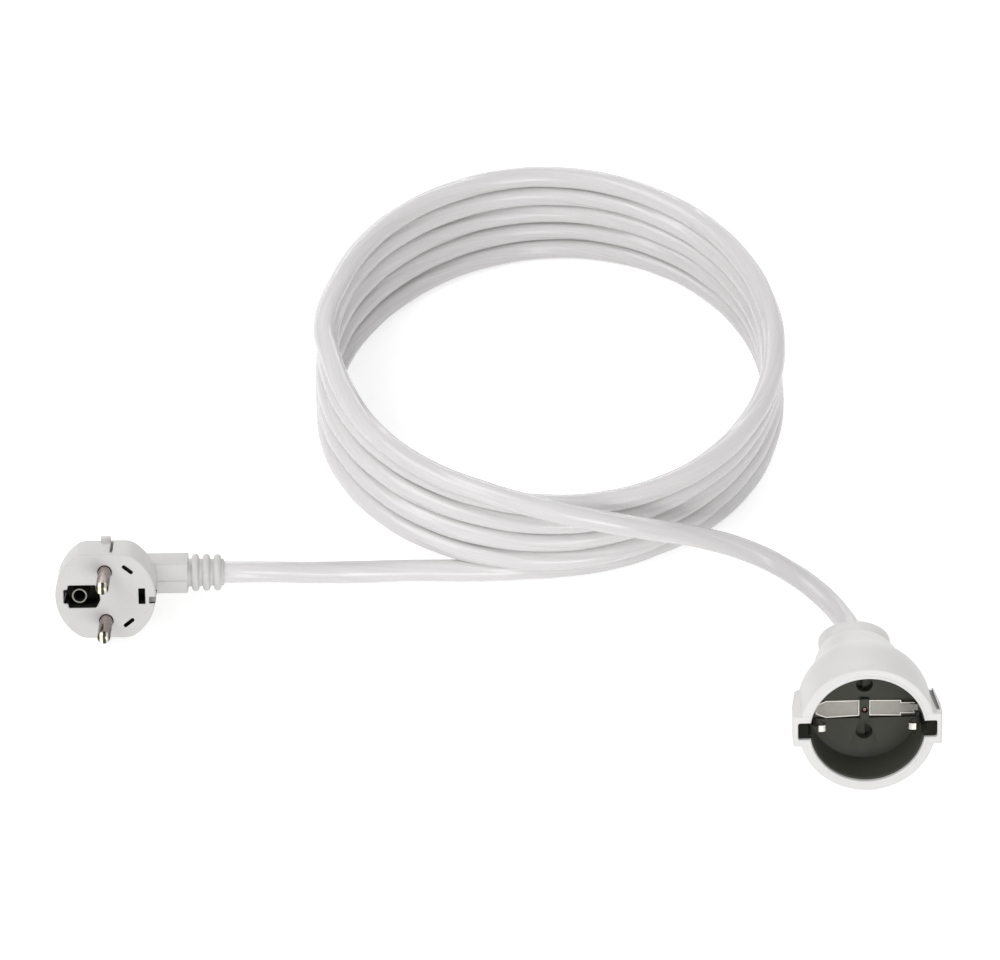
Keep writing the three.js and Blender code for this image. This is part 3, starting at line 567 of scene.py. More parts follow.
def pins_with_painted_reflections(name, colour):
    """Plated pins with painted reflections: dark as a painted reflection of dark surroundings, with
    a painted highlight along the middle, painted shade on both flanks, and a dark tip with two
    painted glints. The pattern is laid across the pins in the plug's own frame."""
    look = Shader(name, colour, 0.24, Metallic=1.0)
    where = look.object_space(
        vector_type="TEXTURE", Location=PLUG.to_translation(), Rotation=PLUG.to_euler(),
        Scale=(MM, MM, MM),
    )
    place = look.split(where)
    across = look.ranged(place["X"], -PIN_RADIUS, PIN_RADIUS)
    body = look.ramp(across, [
        # Painted shade on the flanks and a painted highlight along the middle.
        (0.0, shade(colour, 0.5)), (0.16, shade(colour, 0.85)), (0.38, shade(colour, 1.75)),
        (0.62, shade(colour, 1.1)), (0.8, colour), (1.0, shade(colour, 0.3)),
    ])
    # The tip: a painted dark reflection with a painted glint and a fainter one.
    dark, painted_glint, painted_faint_glint = linear(62, 60, 46), linear(250, 248, 226), linear(196, 198, 184)
    tip = look.ramp(across, [
        (0.0, dark), (0.17, dark), (0.24, painted_glint), (0.40, painted_glint), (0.47, dark), (0.64, dark),
        (0.72, painted_faint_glint), (0.82, painted_faint_glint), (0.9, dark),
    ])
    in_tip = look.ranged(place["Z"], *PIN_TIP_BAND, interpolation_type="SMOOTHSTEP")
    look.tint(in_tip, body, tip)
    look.dulled(look.noise(where, scale=0.55, detail=4.0), 0.18, 0.32)
    return look.material


def two_colour_core(name):
    """Green insulation with a yellow stripe wound along it."""
    green, yellow = linear(96, 150, 52), linear(214, 190, 60)
    look = Shader(name, green, 0.34)
    wave = look.node("ShaderNodeTexWave", look.object_space(), Scale=55.0, Distortion=0.0)
    look.tint(look.ranged(wave.outputs["Fac"], 0.48, 0.52), green, yellow)
    return look.material


def seen_directly(tree, otherwise, value):
    """A strength that is value where the camera or a reflection looks, or else otherwise."""
    path = tree.nodes.new("ShaderNodeLightPath")
    either = path.outputs["Is Camera Ray"]
    for kind in ("Is Glossy Ray", "Is Transmission Ray"):
        largest = filled(tree.nodes.new("ShaderNodeMath"), operation="MAXIMUM")
        tree.links.new(either, largest.inputs[0])
        tree.links.new(path.outputs[kind], largest.inputs[1])
        either = largest.outputs["Value"]
    pick = filled(tree.nodes.new("ShaderNodeMapRange"), To_Min=otherwise, To_Max=value)
    tree.links.new(either, pick.inputs["Value"])
    return pick.outputs["Result"]


# ------------------------------------------------------------------ settings
class CordSettings(PropertyGroup):
    colour: FloatVectorProperty(
        name="Sheath colour", description="Colour of the cord's sheath",
        subtype="COLOR", size=3, default=linear(228, 226, 226), min=0.0, max=1.0,
    )
    roughness: FloatProperty(
        name="Roughness", description="Dullness of the sheath",
        subtype="FACTOR", default=0.24, min=0.05, max=1.0,
    )
    sides: IntProperty(
        name="Sides", description="Flats round the cord's skin", default=36, min=12, max=72,
    )
    steps: IntProperty(
        name="Steps", description="Rings of the skin between two points of the route",
        default=5, min=2, max=12,
    )


class HousingSettings(PropertyGroup):
    colour: FloatVectorProperty(
        name="Housing colour", description="Colour of the plug's and socket's housings",
        subtype="COLOR", size=3, default=linear(229, 228, 226), min=0.0, max=1.0,
    )
    insert_colour: FloatVectorProperty(
        name="Insert colour", description="Colour of the dark inner mouldings",
        subtype="COLOR", size=3, default=linear(76, 77, 69), min=0.0, max=1.0,
    )
    roughness: FloatProperty(
        name="Roughness", description="Dullness of the housings",
        subtype="FACTOR", default=0.40, min=0.05, max=1.0,
    )
    edge: FloatProperty(
        name="Edge radius", description="Rounding of moulded edges, in millimetres",
        default=0.25, min=0.05, max=1.0,
    )


class MetalSettings(PropertyGroup):
    plating: FloatVectorProperty(
        name="Plating", description="Colour of the nickel plated parts",
        subtype="COLOR", size=3, default=linear(206, 203, 195), min=0.0, max=1.0,
    )
    # The pins' colour is darkened as a painted reflection of dark surroundings.
    pins: FloatVectorProperty(
        name="Pins", description="Colour of the plug's pins",
        subtype="COLOR", size=3, default=linear(150, 138, 134), min=0.0, max=1.0,
    )
    brass: FloatVectorProperty(
        name="Brass", description="Colour of the bare brass parts",
        subtype="COLOR", size=3, default=linear(196, 152, 92), min=0.0, max=1.0,
    )


class StageSettings(PropertyGroup):
    floor: FloatVectorProperty(
        name="Floor colour", description="Colour of the floor and backdrop",
        subtype="COLOR", size=3, default=(0.93, 0.93, 0.93), min=0.0, max=1.0,
    )
    key: FloatProperty(
        name="Key light", description="Power of the large lamp, in watts", default=13.0, min=0.0,
    )
    fill: FloatProperty(
        name="Fill light", description="Power of the front lamp, in watts", default=10.5, min=0.0,
    )
    edge: FloatProperty(
        name="Edge light", description="Power of the narrow lamp behind, in watts",
        default=5.6, min=0.0,
    )
    sky: FloatProperty(
        name="Sky", description="Strength of the even light from all round", default=0.53, min=0.0,
    )
    backdrop: FloatProperty(
        name="Backdrop lift", description="How far the floor is raised to white where it is seen",
        default=0.5, min=0.0,
    )
    elevation: FloatProperty(
        name="Camera elevation", description="Height of the view",
        subtype="ANGLE", unit="ROTATION", default=math.radians(44.0),
    )
    distance: FloatProperty(
        name="Camera distance", description="Distance from the point that the camera looks at",
        subtype="DISTANCE", unit="LENGTH", default=2.0,
    )
    lens: FloatProperty(
        name="Lens", description="Focal length in millimetres", default=188.6, min=10.0,
    )


class ExtensionCordSettings(PropertyGroup):
    cord: PointerProperty(type=CordSettings, name="Cord", description="The cord's sheath")
    housing: PointerProperty(
        type=HousingSettings, name="Housings", description="The mouldings of plug and socket",
    )
    metal: PointerProperty(type=MetalSettings, name="Metal", description="Pins and contacts")
    stage: PointerProperty(type=StageSettings, name="Stage", description="Floor, light and camera")


def settings():
    return bpy.context.scene.extension_cord


def finish_of(kind):
    """The named finish, made once. Its name differs from that of the frame's plain material."""
    name = f"{kind}_finish"
    if name in bpy.data.materials:
        return bpy.data.materials[name]
    housing, cord = settings().housing, settings().cord
    white, dark = housing.colour, housing.insert_colour
    plating, pins, brass = settings().metal.plating, settings().metal.pins, settings().metal.brass
    makers = {
        "white_housing": lambda: moulded(name, white, housing.roughness),
        # The housing's white painted darker, as shade on the plug.
        "plug_housing": lambda: moulded(name, shade(white, 0.87), housing.roughness + 0.06),
        # The housing's white painted grey, as the shade inside the wing's slit.
        "grey_lining": lambda: moulded(name, shade(white, 0.6), 0.5, shine=0.2),
        "dark_insert": lambda: moulded(name, dark, 0.46, grain=0.16, shine=0.15),
        # The insert's colour painted much darker, as the shade deep inside the plug.
        "dark_lining": lambda: moulded(name, shade(dark, 0.3), 0.5, shine=0.1),
        # The insert's colour painted darker, as the shade in the socket's ear pockets.
        "dark_notch": lambda: moulded(name, shade(dark, 0.24), 0.5, shine=0.03),
        "cord_sheath": lambda: sheath(name, cord.colour, cord.roughness),
        "stamped_nickel": lambda: metal(name, shade(plating, 1.02), 0.34, (1.0, 12.0, 12.0)),
        # Plating painted darker as shade: bar middles, clip legs, plug strap.
        "brushed_nickel": lambda: metal(name, shade(plating, 0.42), 0.36, (1.0, 14.0, 14.0)),
        "dull_steel": lambda: metal(name, linear(128, 126, 118), 0.42),
        "pin_plating": lambda: pins_with_painted_reflections(name, pins),
        "brass": lambda: metal(name, brass, 0.34, (1.0, 8.0, 8.0)),
        "copper_rivet": lambda: metal(name, linear(122, 96, 86), 0.36),
        "spring_steel": lambda: metal(name, linear(160, 162, 165), 0.28, (6.0, 6.0, 1.0)),
        "core_brown": lambda: moulded(name, linear(104, 64, 42), 0.34),
        "core_blue": lambda: moulded(name, linear(58, 108, 176), 0.34),
        "core_green_yellow": lambda: two_colour_core(name),
    }
    return makers[kind]()


# ------------------------------------------------------------------ the stage
WHITE = (1.0, 1.0, 1.0, 1.0)
FLOOR_HALF = 6.0
SENSOR_WIDTH = 36.0
CAMERA_TARGET = (-0.1308, 0.12815, 0.0)
LAMP_TARGET = (-0.12, 0.1, 0.0)
# The lamps' sizes and places, in metres.
LAMPS = {
    "key": ((1.5, 1.5), (-1.35, -0.25, 1.55)),
    "fill": ((1.2, 0.7), (0.3, -1.75, 0.48)),
    "edge": ((2.4, 0.14), (-0.2, 1.7, 0.55)),
}


class EXTCORD_OT_stage(Operator):
    """Set up the floor, lamps, sky and camera"""

    bl_idname = "extension_cord.stage"
    bl_label = "Stage"

    def execute(self, context):
        context.scene.view_settings.view_transform = "Standard"
        stage = settings().stage
        self.floor(stage)
        self.sky(stage)
        for name, (size, place) in LAMPS.items():
            self.lamp(name, getattr(stage, name), size, place)
        self.camera(stage)
        return {"FINISHED"}

    def floor(self, stage):
        bm = bmesh.new()
        bmesh.ops.create_grid(bm, x_segments=1, y_segments=1, size=FLOOR_HALF)
        floor = scratch_object(bm, "floor")
        look = Shader("floor", stage.floor, 0.9, Specular_IOR_Level=0.0, Emission_Color=WHITE)
        look.link(seen_directly(look.tree, 0.0, stage.backdrop), look.surface["Emission Strength"])
        floor.data.materials.clear()
        floor.data.materials.append(look.material)

    def sky(self, stage):
        world = bpy.data.worlds.new("sky")
        world.use_nodes = True
        tree = world.node_tree
        background = filled(tree.nodes["Background"], Color=WHITE)
        tree.links.new(seen_directly(tree, stage.sky, 1.0), background.inputs["Strength"])
        bpy.context.scene.world = world

    def lamp(self, name, power, size, place):
        data = bpy.data.lights.new(name, "AREA")
        data.energy = power
        data.shape = "ELLIPSE"
        data.size, data.size_y = size
        lamp = added(name, data)
        lamp.location = place
        aim = Vector(LAMP_TARGET) - lamp.location
        lamp.rotation_euler = aim.to_track_quat("-Z", "Y").to_euler()

    def camera(self, stage):
        data = bpy.data.cameras.new("camera")
        data.lens = stage.lens
        data.sensor_width = SENSOR_WIDTH
        data.clip_end = 50.0
        camera = added("camera", data)
        back = Vector((0.0, -math.cos(stage.elevation), math.sin(stage.elevation)))
        camera.location = Vector(CAMERA_TARGET) + back * stage.distance
        camera.rotation_euler = (math.pi / 2 - stage.elevation, 0.0, 0.0)
        bpy.context.scene.camera = camera


# ------------------------------------------------------------------ the cord
PLUG_PIECES = (
    "plug_shell", "plug_pins", "plug_bridge", "plug_earth_strap_bent", "plug_earth_tube",
)
PLUG_NODES_KEPT = ("plug_core_live", "plug_core_neutral", "plug_core_earth")


class EXTCORD_OT_cord(Operator):
    """Lay the cord from the socket through its coil to the plug"""

    bl_idname = "extension_cord.cord"
    bl_label = "Cord"

    def execute(self, context):
        cord = settings().cord
        section = self.section(cord.sides)
        line = bpy.data.curves.new("cord_line", "CURVE")
        line.dimensions = "3D"
        line.resolution_u = cord.steps
        line.bevel_mode = "OBJECT"
        line.bevel_object = section
        line.use_fill_caps = True
        line.twist_mode = "Z_UP"
        spline = self.route(line)
        drawn = added("cord_line", line)
        mesh = evaluated(drawn)
        path = self.centre_line(spline.bezier_points, cord.steps)
        context.scene["cord_path"] = [value for point in path for value in point]
        outline = section.data
        for item in (drawn, section):
            bpy.data.objects.remove(item)
        for curve in (line, outline):
            bpy.data.curves.remove(curve)

        mesh.name = "cord_sheath"
        mesh.materials.clear()
        mesh.materials.append(finish_of("cord_sheath"))
        mesh.shade_smooth()
        piece = added("cord_sheath", mesh)
        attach(piece, "cord_set")
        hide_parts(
            "cord_coil", "cord_plug_lead", "cord_socket_lead", "socket_sheath_end",
            "plug_sheath_end",
        )
        return {"FINISHED"}

    def section(self, sides):
        """The sheath's outline: round, with a shallow valley between each two of three cores."""
        outline = bpy.data.curves.new("cord_section", "CURVE")
        outline.dimensions = "2D"
        spline = outline.splines.new("POLY")
        spline.points.add(sides - 1)
        for number, point in enumerate(spline.points):
            angle = math.tau * number / sides
            reach = CORD_RADIUS - CORD_VALLEY * (1 - abs(math.sin(1.5 * angle))) ** 2
            point.co = (reach * math.cos(angle), reach * math.sin(angle), 0.0, 1.0)
        spline.use_cyclic_u = True
        return added("cord_section", outline)

    def route(self, line):
        """The cord's way as a spline that turns with the lay of the cores."""
        points = cord_points()
        spline = line.splines.new("BEZIER")
        spline.bezier_points.add(len(points) - 1)
        travelled = 0.0
        for knot, point, before in zip(spline.bezier_points, points, [points[0], *points]):
            travelled += (point - before).length
            knot.co = point
            knot.tilt = math.tau * travelled / CORD_LAY
            knot.handle_left_type = knot.handle_right_type = "AUTO"
        return spline

    def centre_line(self, knots, steps):
        path = [knots[0].co.copy()]
        for here, there in zip(knots, knots[1:]):
            path += interpolate_bezier(
                here.co, here.handle_right, there.handle_left, there.co, steps + 1,
            )[1:]
        return path


class EXTCORD_OT_declare(Operator):
    """Look up the plug's pieces once they are made, and drop the cord's stored centre line"""

    bl_idname = "extension_cord.declare"
    bl_label = "Declare the cord"

    def execute(self, context):
        plug_pieces = [bpy.data.objects[name] for name in PLUG_PIECES]
        plug_pieces += [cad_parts[name] for name in PLUG_NODES_KEPT]
        del context.scene["cord_path"]
        return {"FINISHED"}


# ------------------------------------------------------------------ the plug
FACE_EDGE = 0.9
FACE_HALF = 17.6
FACE_FLAT = 15.4
PLUG_BODY = [
    (-16.0, 18.5, 18.5, 16.3), (-16.9, 17.7, 17.7, 15.3), (-20, 15.8, 15.8, 13.4),
    (-25, 14.3, 14.3, 11.3), (-30, 13.3, 13.3, 9.8), (-33.4, 12.6, 12.6, 8.6),
    (-35, 10.6, 10.6, 6.6),
]
PLUG_HOLLOW = [
    (-2.0, 15.7, 15.7, 12.5), (-16, 15.2, 15.2, 12.5), (-19, 13.4, 13.4, 11.7),
    (-24, 11.6, 11.6, 8.6), (-31, 10.2, 10.2, 6.2),
]
CORD_BORE = [(0, 6), (4.3, 6), (4.3, 42.3), (4.7, 43.5), (0, 43.5)]
EARTH_WINDOW = [
    (-15.4, -2.6), (-13.8, -2.6), (-13.5, -4.4), (-3.4, -4.4), (-1.9, -1.4), (-2.2, 1.6),
    (-3.6, 4.4), (-13.7, 4.4), (-13.9, 2.7), (-15.4, 2.7),
]
SIDE_RECESS = [(12.1, -3.1), (14.6, -3.1), (14.6, 2.95), (12.1, 2.95)]
FACE_HOLE = [(0, -3), (2.6, -3), (2.6, -0.2), (2.85, 0.05), (2.85, 1), (0, 1)]
SLOT_HALF = (2.35, 0.72)
SLOT_ANGLE = 51
SLOT_OUT = 13.3
CHANNEL_HALF = 2.9
CHANNEL_FOOT = -13.4
ALONG_CORD = Matrix.Translation((0, 0, -PLUG_AXIS_BACK)) @ Matrix.Rotation(math.pi / 2, 4, "Y")

NECK_HALF_Y = 5.8
NECK_BOTTOM = -PLUG_AXIS_BACK - 6.5
NECK_TOP = -PLUG_AXIS_BACK + 6.5
NECK_END = 29.5
RIB_MIDDLES = (32.2, 36.3, 40.4)
RIB_STEPS = 8

TUBE = [
    (0, -19.4), (3.1, -19.4), (3.1, -4.0), (2.85, -1.5), (2.75, -1.25), (2.5, -1.2), (2.25, -1.25),
    (2.15, -1.5), (2.15, -18.2), (0, -18.2),
]
TUBE_PASSAGE = [(0, -12), (3.4, -12), (3.4, -8.8), (3.8, -8.4), (0, -8.4)]
PIN_TIP_RADIUS = 1.7
BRIDGE = [(-11, 15.0, 15.0, 11.2), (-2.7, 15.2, 15.2, 11.2), (-2.4, 14.9, 14.9, 10.9)]
STRAP_EYE = [(0, -12.5), (5.1, -12.5), (5.2, -12.4), (5.2, -11.6), (5.1, -11.5), (0, -11.5)]
STRAP_LEG = [(16.2, -12.3), (16.2, -4.6), (16.5, -3.0), (16.3, -2.0), (15.8, -1.5)]


class EXTCORD_OT_plug(Operator):
    """Build the angled plug's moulded body with its neck and bend relief"""

    bl_idname = "extension_cord.plug"
    bl_label = "Plug body"

    def execute(self, context):
        front = []
        for angle in reversed(QUARTER_ROUND):
            out = FACE_EDGE * math.cos(angle)
            z = -FACE_EDGE * (1 - math.sin(angle))
            front.append((z, FACE_HALF + out, FACE_HALF + out, FACE_FLAT + out))
        shell = loft([*front, *softened(PLUG_BODY)], 112)
        shell = combined(shell, [self.neck(), self.relief()], "UNION")
        shell = combined(shell, self.openings(settings().housing.edge), "DIFFERENCE")
        tab = block((-1.85, 15.3, -16.0), (1.85, 18.2, -13.2), 0.35)
        rib = block((-1.75, 15.2, -13.4), (1.75, 16.42, -0.95), 0.1)
        shell = combined(shell, [tab, rib], "UNION")
        placed("plug_shell", shell, PLUG, "plug_housing", "white_housing", "plug_body",
               shade_finish="dark_lining")
        return {"FINISHED"}

    def openings(self, edge):
        """The hollow, the cord's bore, and what is cut into the face and the sides."""
        # Cut walls of the hollow, window, side recess, slots and right channel: painted shade.
        cuts = [
            shade_painted_below(loft(PLUG_HOLLOW, 56), 1.0),
            moved(turned(CORD_BORE, 32), ALONG_CORD),
            shade_painted_below(slab(EARTH_WINDOW, -3.0, 0.0, corner=0.5, mouth=edge + 0.1)),
            shade_painted_below(slab(SIDE_RECESS, -3.0, 0.0, corner=0.2, mouth=edge * 0.6)),
        ]
        for side in (1, -1):
            low, high = (-CHANNEL_HALF, CHANNEL_FOOT), (CHANNEL_HALF, -1.4)
            x, y = side * 2.35, side * 15.1
            angle = math.radians(side * SLOT_ANGLE)
            slot = slab(rectangle(*SLOT_HALF), -3.0, 0.0, corner=0.6, mouth=edge * 0.4)
            slot = moved(shade_painted_below(slot, -0.15), Matrix.Rotation(angle + math.pi / 2, 4, "Z"))
            cuts += [
                shifted(turned(FACE_HOLE, 40), 0, side * PIN_OFFSET),
                side_block(side, (15.6, *low), (20.0, *high), 0.3),
                side_block(side, (13.6, *low), (16.6, CHANNEL_HALF, -2.0)),
                block((x - 0.55, y - 1.7, -14.2), (x + 0.55, y + 1.7, -2.4)),
                shifted(slot, SLOT_OUT * math.cos(angle), SLOT_OUT * math.sin(angle)),
            ]
        # The right channel alone opens towards the face, below its middle.
        cuts.append(shade_painted_below(block((16.0, -CHANNEL_HALF, CHANNEL_FOOT), (20.0, -0.3, 1.0)), 2.0))
        return cuts

    def neck(self):
        """A bar with soft corners, square to the pins, with a raised band on its lower half."""
        bar = block((6.0, -NECK_HALF_Y, NECK_BOTTOM), (NECK_END, NECK_HALF_Y, NECK_TOP))
        sides = [edge for edge in bar.edges if abs(edge.verts[0].co.x - edge.verts[1].co.x) > 1]
        rounded(bar, sides, 0.8, 4)
        end = [edge for edge in bar.edges if all(v.co.x > NECK_END - 0.1 for v in edge.verts)]
        rounded(bar, end, 0.25, 2)
        band = block((13.0, -5.7, NECK_TOP - 1.5), (29.2, -0.9, NECK_TOP + 0.45), 0.3)
        return combined(bar, [band], "UNION")

    def relief(self):
        """The bend relief: a soft core that thins towards the cord, with three round ribs."""
        profile = [(0, 28.0), (5.5, 28.0)]
        for number, middle in enumerate(RIB_MIDDLES):
            top = 7.0 - 0.1 * number
            core = 5.2 - 0.12 * number
            foot = core + 0.25
            profile.append((core, middle - 1.6))
            for step in range(RIB_STEPS + 1):
                angle = math.pi * (step / RIB_STEPS)
                profile.append((foot + (top - foot) * math.sin(angle) ** 0.7,
                                middle - 1.35 * math.cos(angle)))
            profile.append((core, middle + 1.6))
        profile += [(5.1, 42.3), (4.9, 42.65), (4.6, PLUG_EXIT), (0, PLUG_EXIT)]
        return moved(turned(profile, 56), ALONG_CORD)


class EXTCORD_OT_plug_metal(Operator):
    """Build the plug's pins, earth strap and dark inner moulding"""

    bl_idname = "extension_cord.plug_metal"
    bl_label = "Plug metalwork"

    def execute(self, context):
        placed("plug_pins", merged(self.pin(1), self.pin(-1)), PLUG, "pin_plating", "nickel_plate",
               "plug_pin_live", "plug_pin_neutral", angle=50)
        # The bridge is a dark moulding, painted darker still as the shade deep in the plug.
        placed("plug_bridge", self.bridge(), PLUG, "dark_lining", "dark_insert",
               "plug_contact_bridge")
        # The strap, seen deep in the side channels, is painted darker as shade.
        placed("plug_earth_strap_bent", self.strap(), PLUG, "brushed_nickel", "brass",
               "plug_earth_strap")
        # The tube is painted dark as shade from 1.7 mm below the face.
        tube = shifted(shade_painted_below(turned(TUBE, 48), -1.7), -EARTH_OFFSET, 0)
        placed("plug_earth_tube", tube, PLUG, "dull_steel", "nickel_plate", "plug_earth_sleeve",
               shade_finish="dark_lining")
        return {"FINISHED"}

    def pin(self, side):
        """A solid round pin with a rounded tip and a crimped tail."""
        profile = [(0, -16.5), (2.1, -16.5), (2.1, -12.5), (PIN_RADIUS, -12.2), (PIN_RADIUS, -1.2)]
        for step in range(0, 91, 15):
            angle = math.radians(step)
            profile.append((PIN_RADIUS - PIN_TIP_RADIUS * (1 - math.cos(angle)),
                            17.3 + PIN_TIP_RADIUS * math.sin(angle)))
        profile.append((0, 19.0))
        return shifted(turned(profile, 48), 0, side * PIN_OFFSET)

    def bridge(self):
        """The dark moulding between the pins, with its window and the passages through it."""
        window = [(x * 0.985 - 0.1, y * 0.93) for x, y in EARTH_WINDOW]
        cuts = [
            slab(window, -9.0, 0.0, corner=0.5),
            shifted(turned(TUBE_PASSAGE, 40), -EARTH_OFFSET, 0),
        ]
        for side in (1, -1):
            low, high = sorted((side * 4.0, side * 9.0))
            cuts += [
                shifted(rod(2.7, -12, 0), 0, side * PIN_OFFSET),
                block((4.0, low, -12.0), (8.0, high, -6.0), 0.2),
            ]
        cuts.append(block((11.4, -2.7, -9.0), (16.0, 2.7, 0.0), 0.2))
        return combined(loft(BRIDGE, 64), cuts, "DIFFERENCE")

    def strap(self):
        """One strip: an eye round the earth tube, and two legs that show in the side channels."""
        across = block((-16.7, -2.3, -12.5), (16.7, 2.3, -11.5), 0.1)
        parts = [
            shifted(turned(STRAP_EYE, 48), -EARTH_OFFSET, 0),
            block((3.6, -1.6, -15.9), (6.4, 1.6, -12.3), 0.2),
            *(strip(mirrored(STRAP_LEG, side), 0.8, 4.6) for side in (1, -1)),
        ]
        strap = combined(across, parts, "UNION")
        return combined(strap, [shifted(rod(3.4, -14, -10), -EARTH_OFFSET, 0)], "DIFFERENCE")


# ------------------------------------------------------------------ the socket
BELL_REAR = [(-63.2, 12.2, 7.4), (-62.0, 12.3, 7.6), (-61.7, 12.7, 8.3), (-61.3, 13.15, 9.2)]
BELL_BODY = [
    (-61.0, 13.4, 9.6), (-57, 14.6, 11.0), (-53, 15.6, 12.2), (-47, 16.6, 14.0), (-42, 17.6, 15.6),
    (-37, 19.0, 17.6), (-33, 20.5, 19.6), (-28, 22.3, 21.7), (-24, 23.6, 23.1), (-19, 24.1, 24.0),
    (-10, 24.3, 24.3), (-1.3, 24.4, 24.4),
]
BELL_EDGE = 0.9
BELL_EDGE_MIDDLE = (23.5, -1.2)
BELL_RIM = [(-0.3, 21.75, 21.75), (-0.2, 21.6, 21.6), (-0.05, 21.5, 21.5), (0.0, 21.3, 21.3)]
BELL_HOLLOW = [
    (-58, 12.0, 7.6), (-53, 14.0, 10.6), (-47, 15.0, 12.4), (-42, 16.0, 14.0), (-37, 17.4, 16.0),
    (-33, 18.9, 18.0), (-28, 20.7, 20.1), (-24, 21.95, 21.5), (-20.6, 22.0, 21.95),
    (-1.6, 22.0, 22.0),
]
BELL_MOUTH = [
    (0, -2.6), (20.5, -2.6), (20.5, -0.6), (20.57, -0.3), (20.75, -0.08), (21.0, 0.03), (21.0, 1.0),
    (0, 1.0),
]
NECK_TUBE = [(-69.6, 9.6, 5.5), (-60.0, 9.6, 5.5)]
NECK_SEAT = [(-69.9, 9.9, 5.8), (-55.0, 9.9, 5.8)]
# The cord's way out opens sideways, so that the cord can bend in it.
THROAT = [(-73.5, 7.1, 4.8), (-SOCKET_THROAT, 4.6, 4.3), (-60, 4.3, 4.3), (-50, 4.3, 4.3)]
WING_HALF = 6.0
WING = [
    (20.0, -0.15), (26.1, -0.15), (26.6, -0.8), (26.6, -8.5), (25.1, -20.0), (23.8, -21.8),
    (20.0, -21.8),
]
WING_SLIT = [(22.5, -23.0), (24.2, -23.0), (25.9, -4.2), (25.6, -3.6), (25.0, -3.6), (24.6, -4.2)]
EAR_OPENING = (24.8, 3.3)
EAR = (24.5, 3.0)
CAP = [
    (-73.0, 10.4, 5.2), (-72.95, 10.9, 5.7), (-72.8, 11.5, 6.4), (-72.4, 12.2, 7.05),
    (-71.8, 12.7, 7.5), (-70.9, 13.1, 7.85), (-69.0, 13.28, 7.98), (-65.2, 13.3, 8.0),
    (-64.3, 13.15, 7.85), (-63.7, 12.8, 7.5), (-63.5, 12.5, 7.2),
]
CUP = [
    (0, -20.5), (21.6, -20.5), (21.6, -1.9), (20.4, -1.9), (20.1, -2.2), (20.0, -2.9),
    (20.0, -16.9), (19.8, -17.3), (19.4, -17.5), (0, -17.5),
]
CUP_HOLE = [
    (0, -24), (2.9, -24), (2.9, -17.85), (3.0, -17.6), (3.25, -17.45), (3.25, -16), (0, -16),
]
RIVET = [(0, -24.4), (1.0, -24.4), (1.0, -16.9), (0.92, -16.5), (0.6, -16.2), (0, -16.1)]
RIVET_HOLE = 1.3
EARTH_BAR = [
    (-17.2, -2.0), (-13.8, -3.5), (0, -2.8), (13.0, -3.2), (13.0, -2.4), (18.0, -2.4), (17.2, -0.4),
    (18.0, 1.7), (13.0, 1.8), (13.0, 2.7), (0, 2.9), (-13.8, 2.9), (-17.2, 1.3),
]
EARTH_BAR_LEFT = [
    (-17.4, -2.2), (-13.8, -3.7), (-1.85, -3.1), (-1.85, 3.1), (-13.8, 3.1), (-17.4, 1.4),
]
EARTH_BAR_RIGHT = [
    (1.85, -3.05), (13.2, -3.4), (13.2, -2.5), (18.2, -2.6), (17.4, -0.4), (18.2, 1.8), (13.2, 1.9),
    (13.2, 2.8), (1.85, 3.05),
]
CLIP = [
    (16.6, -18.0), (19.4, -17.8), (20.7, -16.2), (21.3, -12.5), (20.9, -9.0), (17.8, -6.1),
    (15.6, -4.6), (15.1, -3.6), (15.8, -3.0), (17.3, -3.1),
]


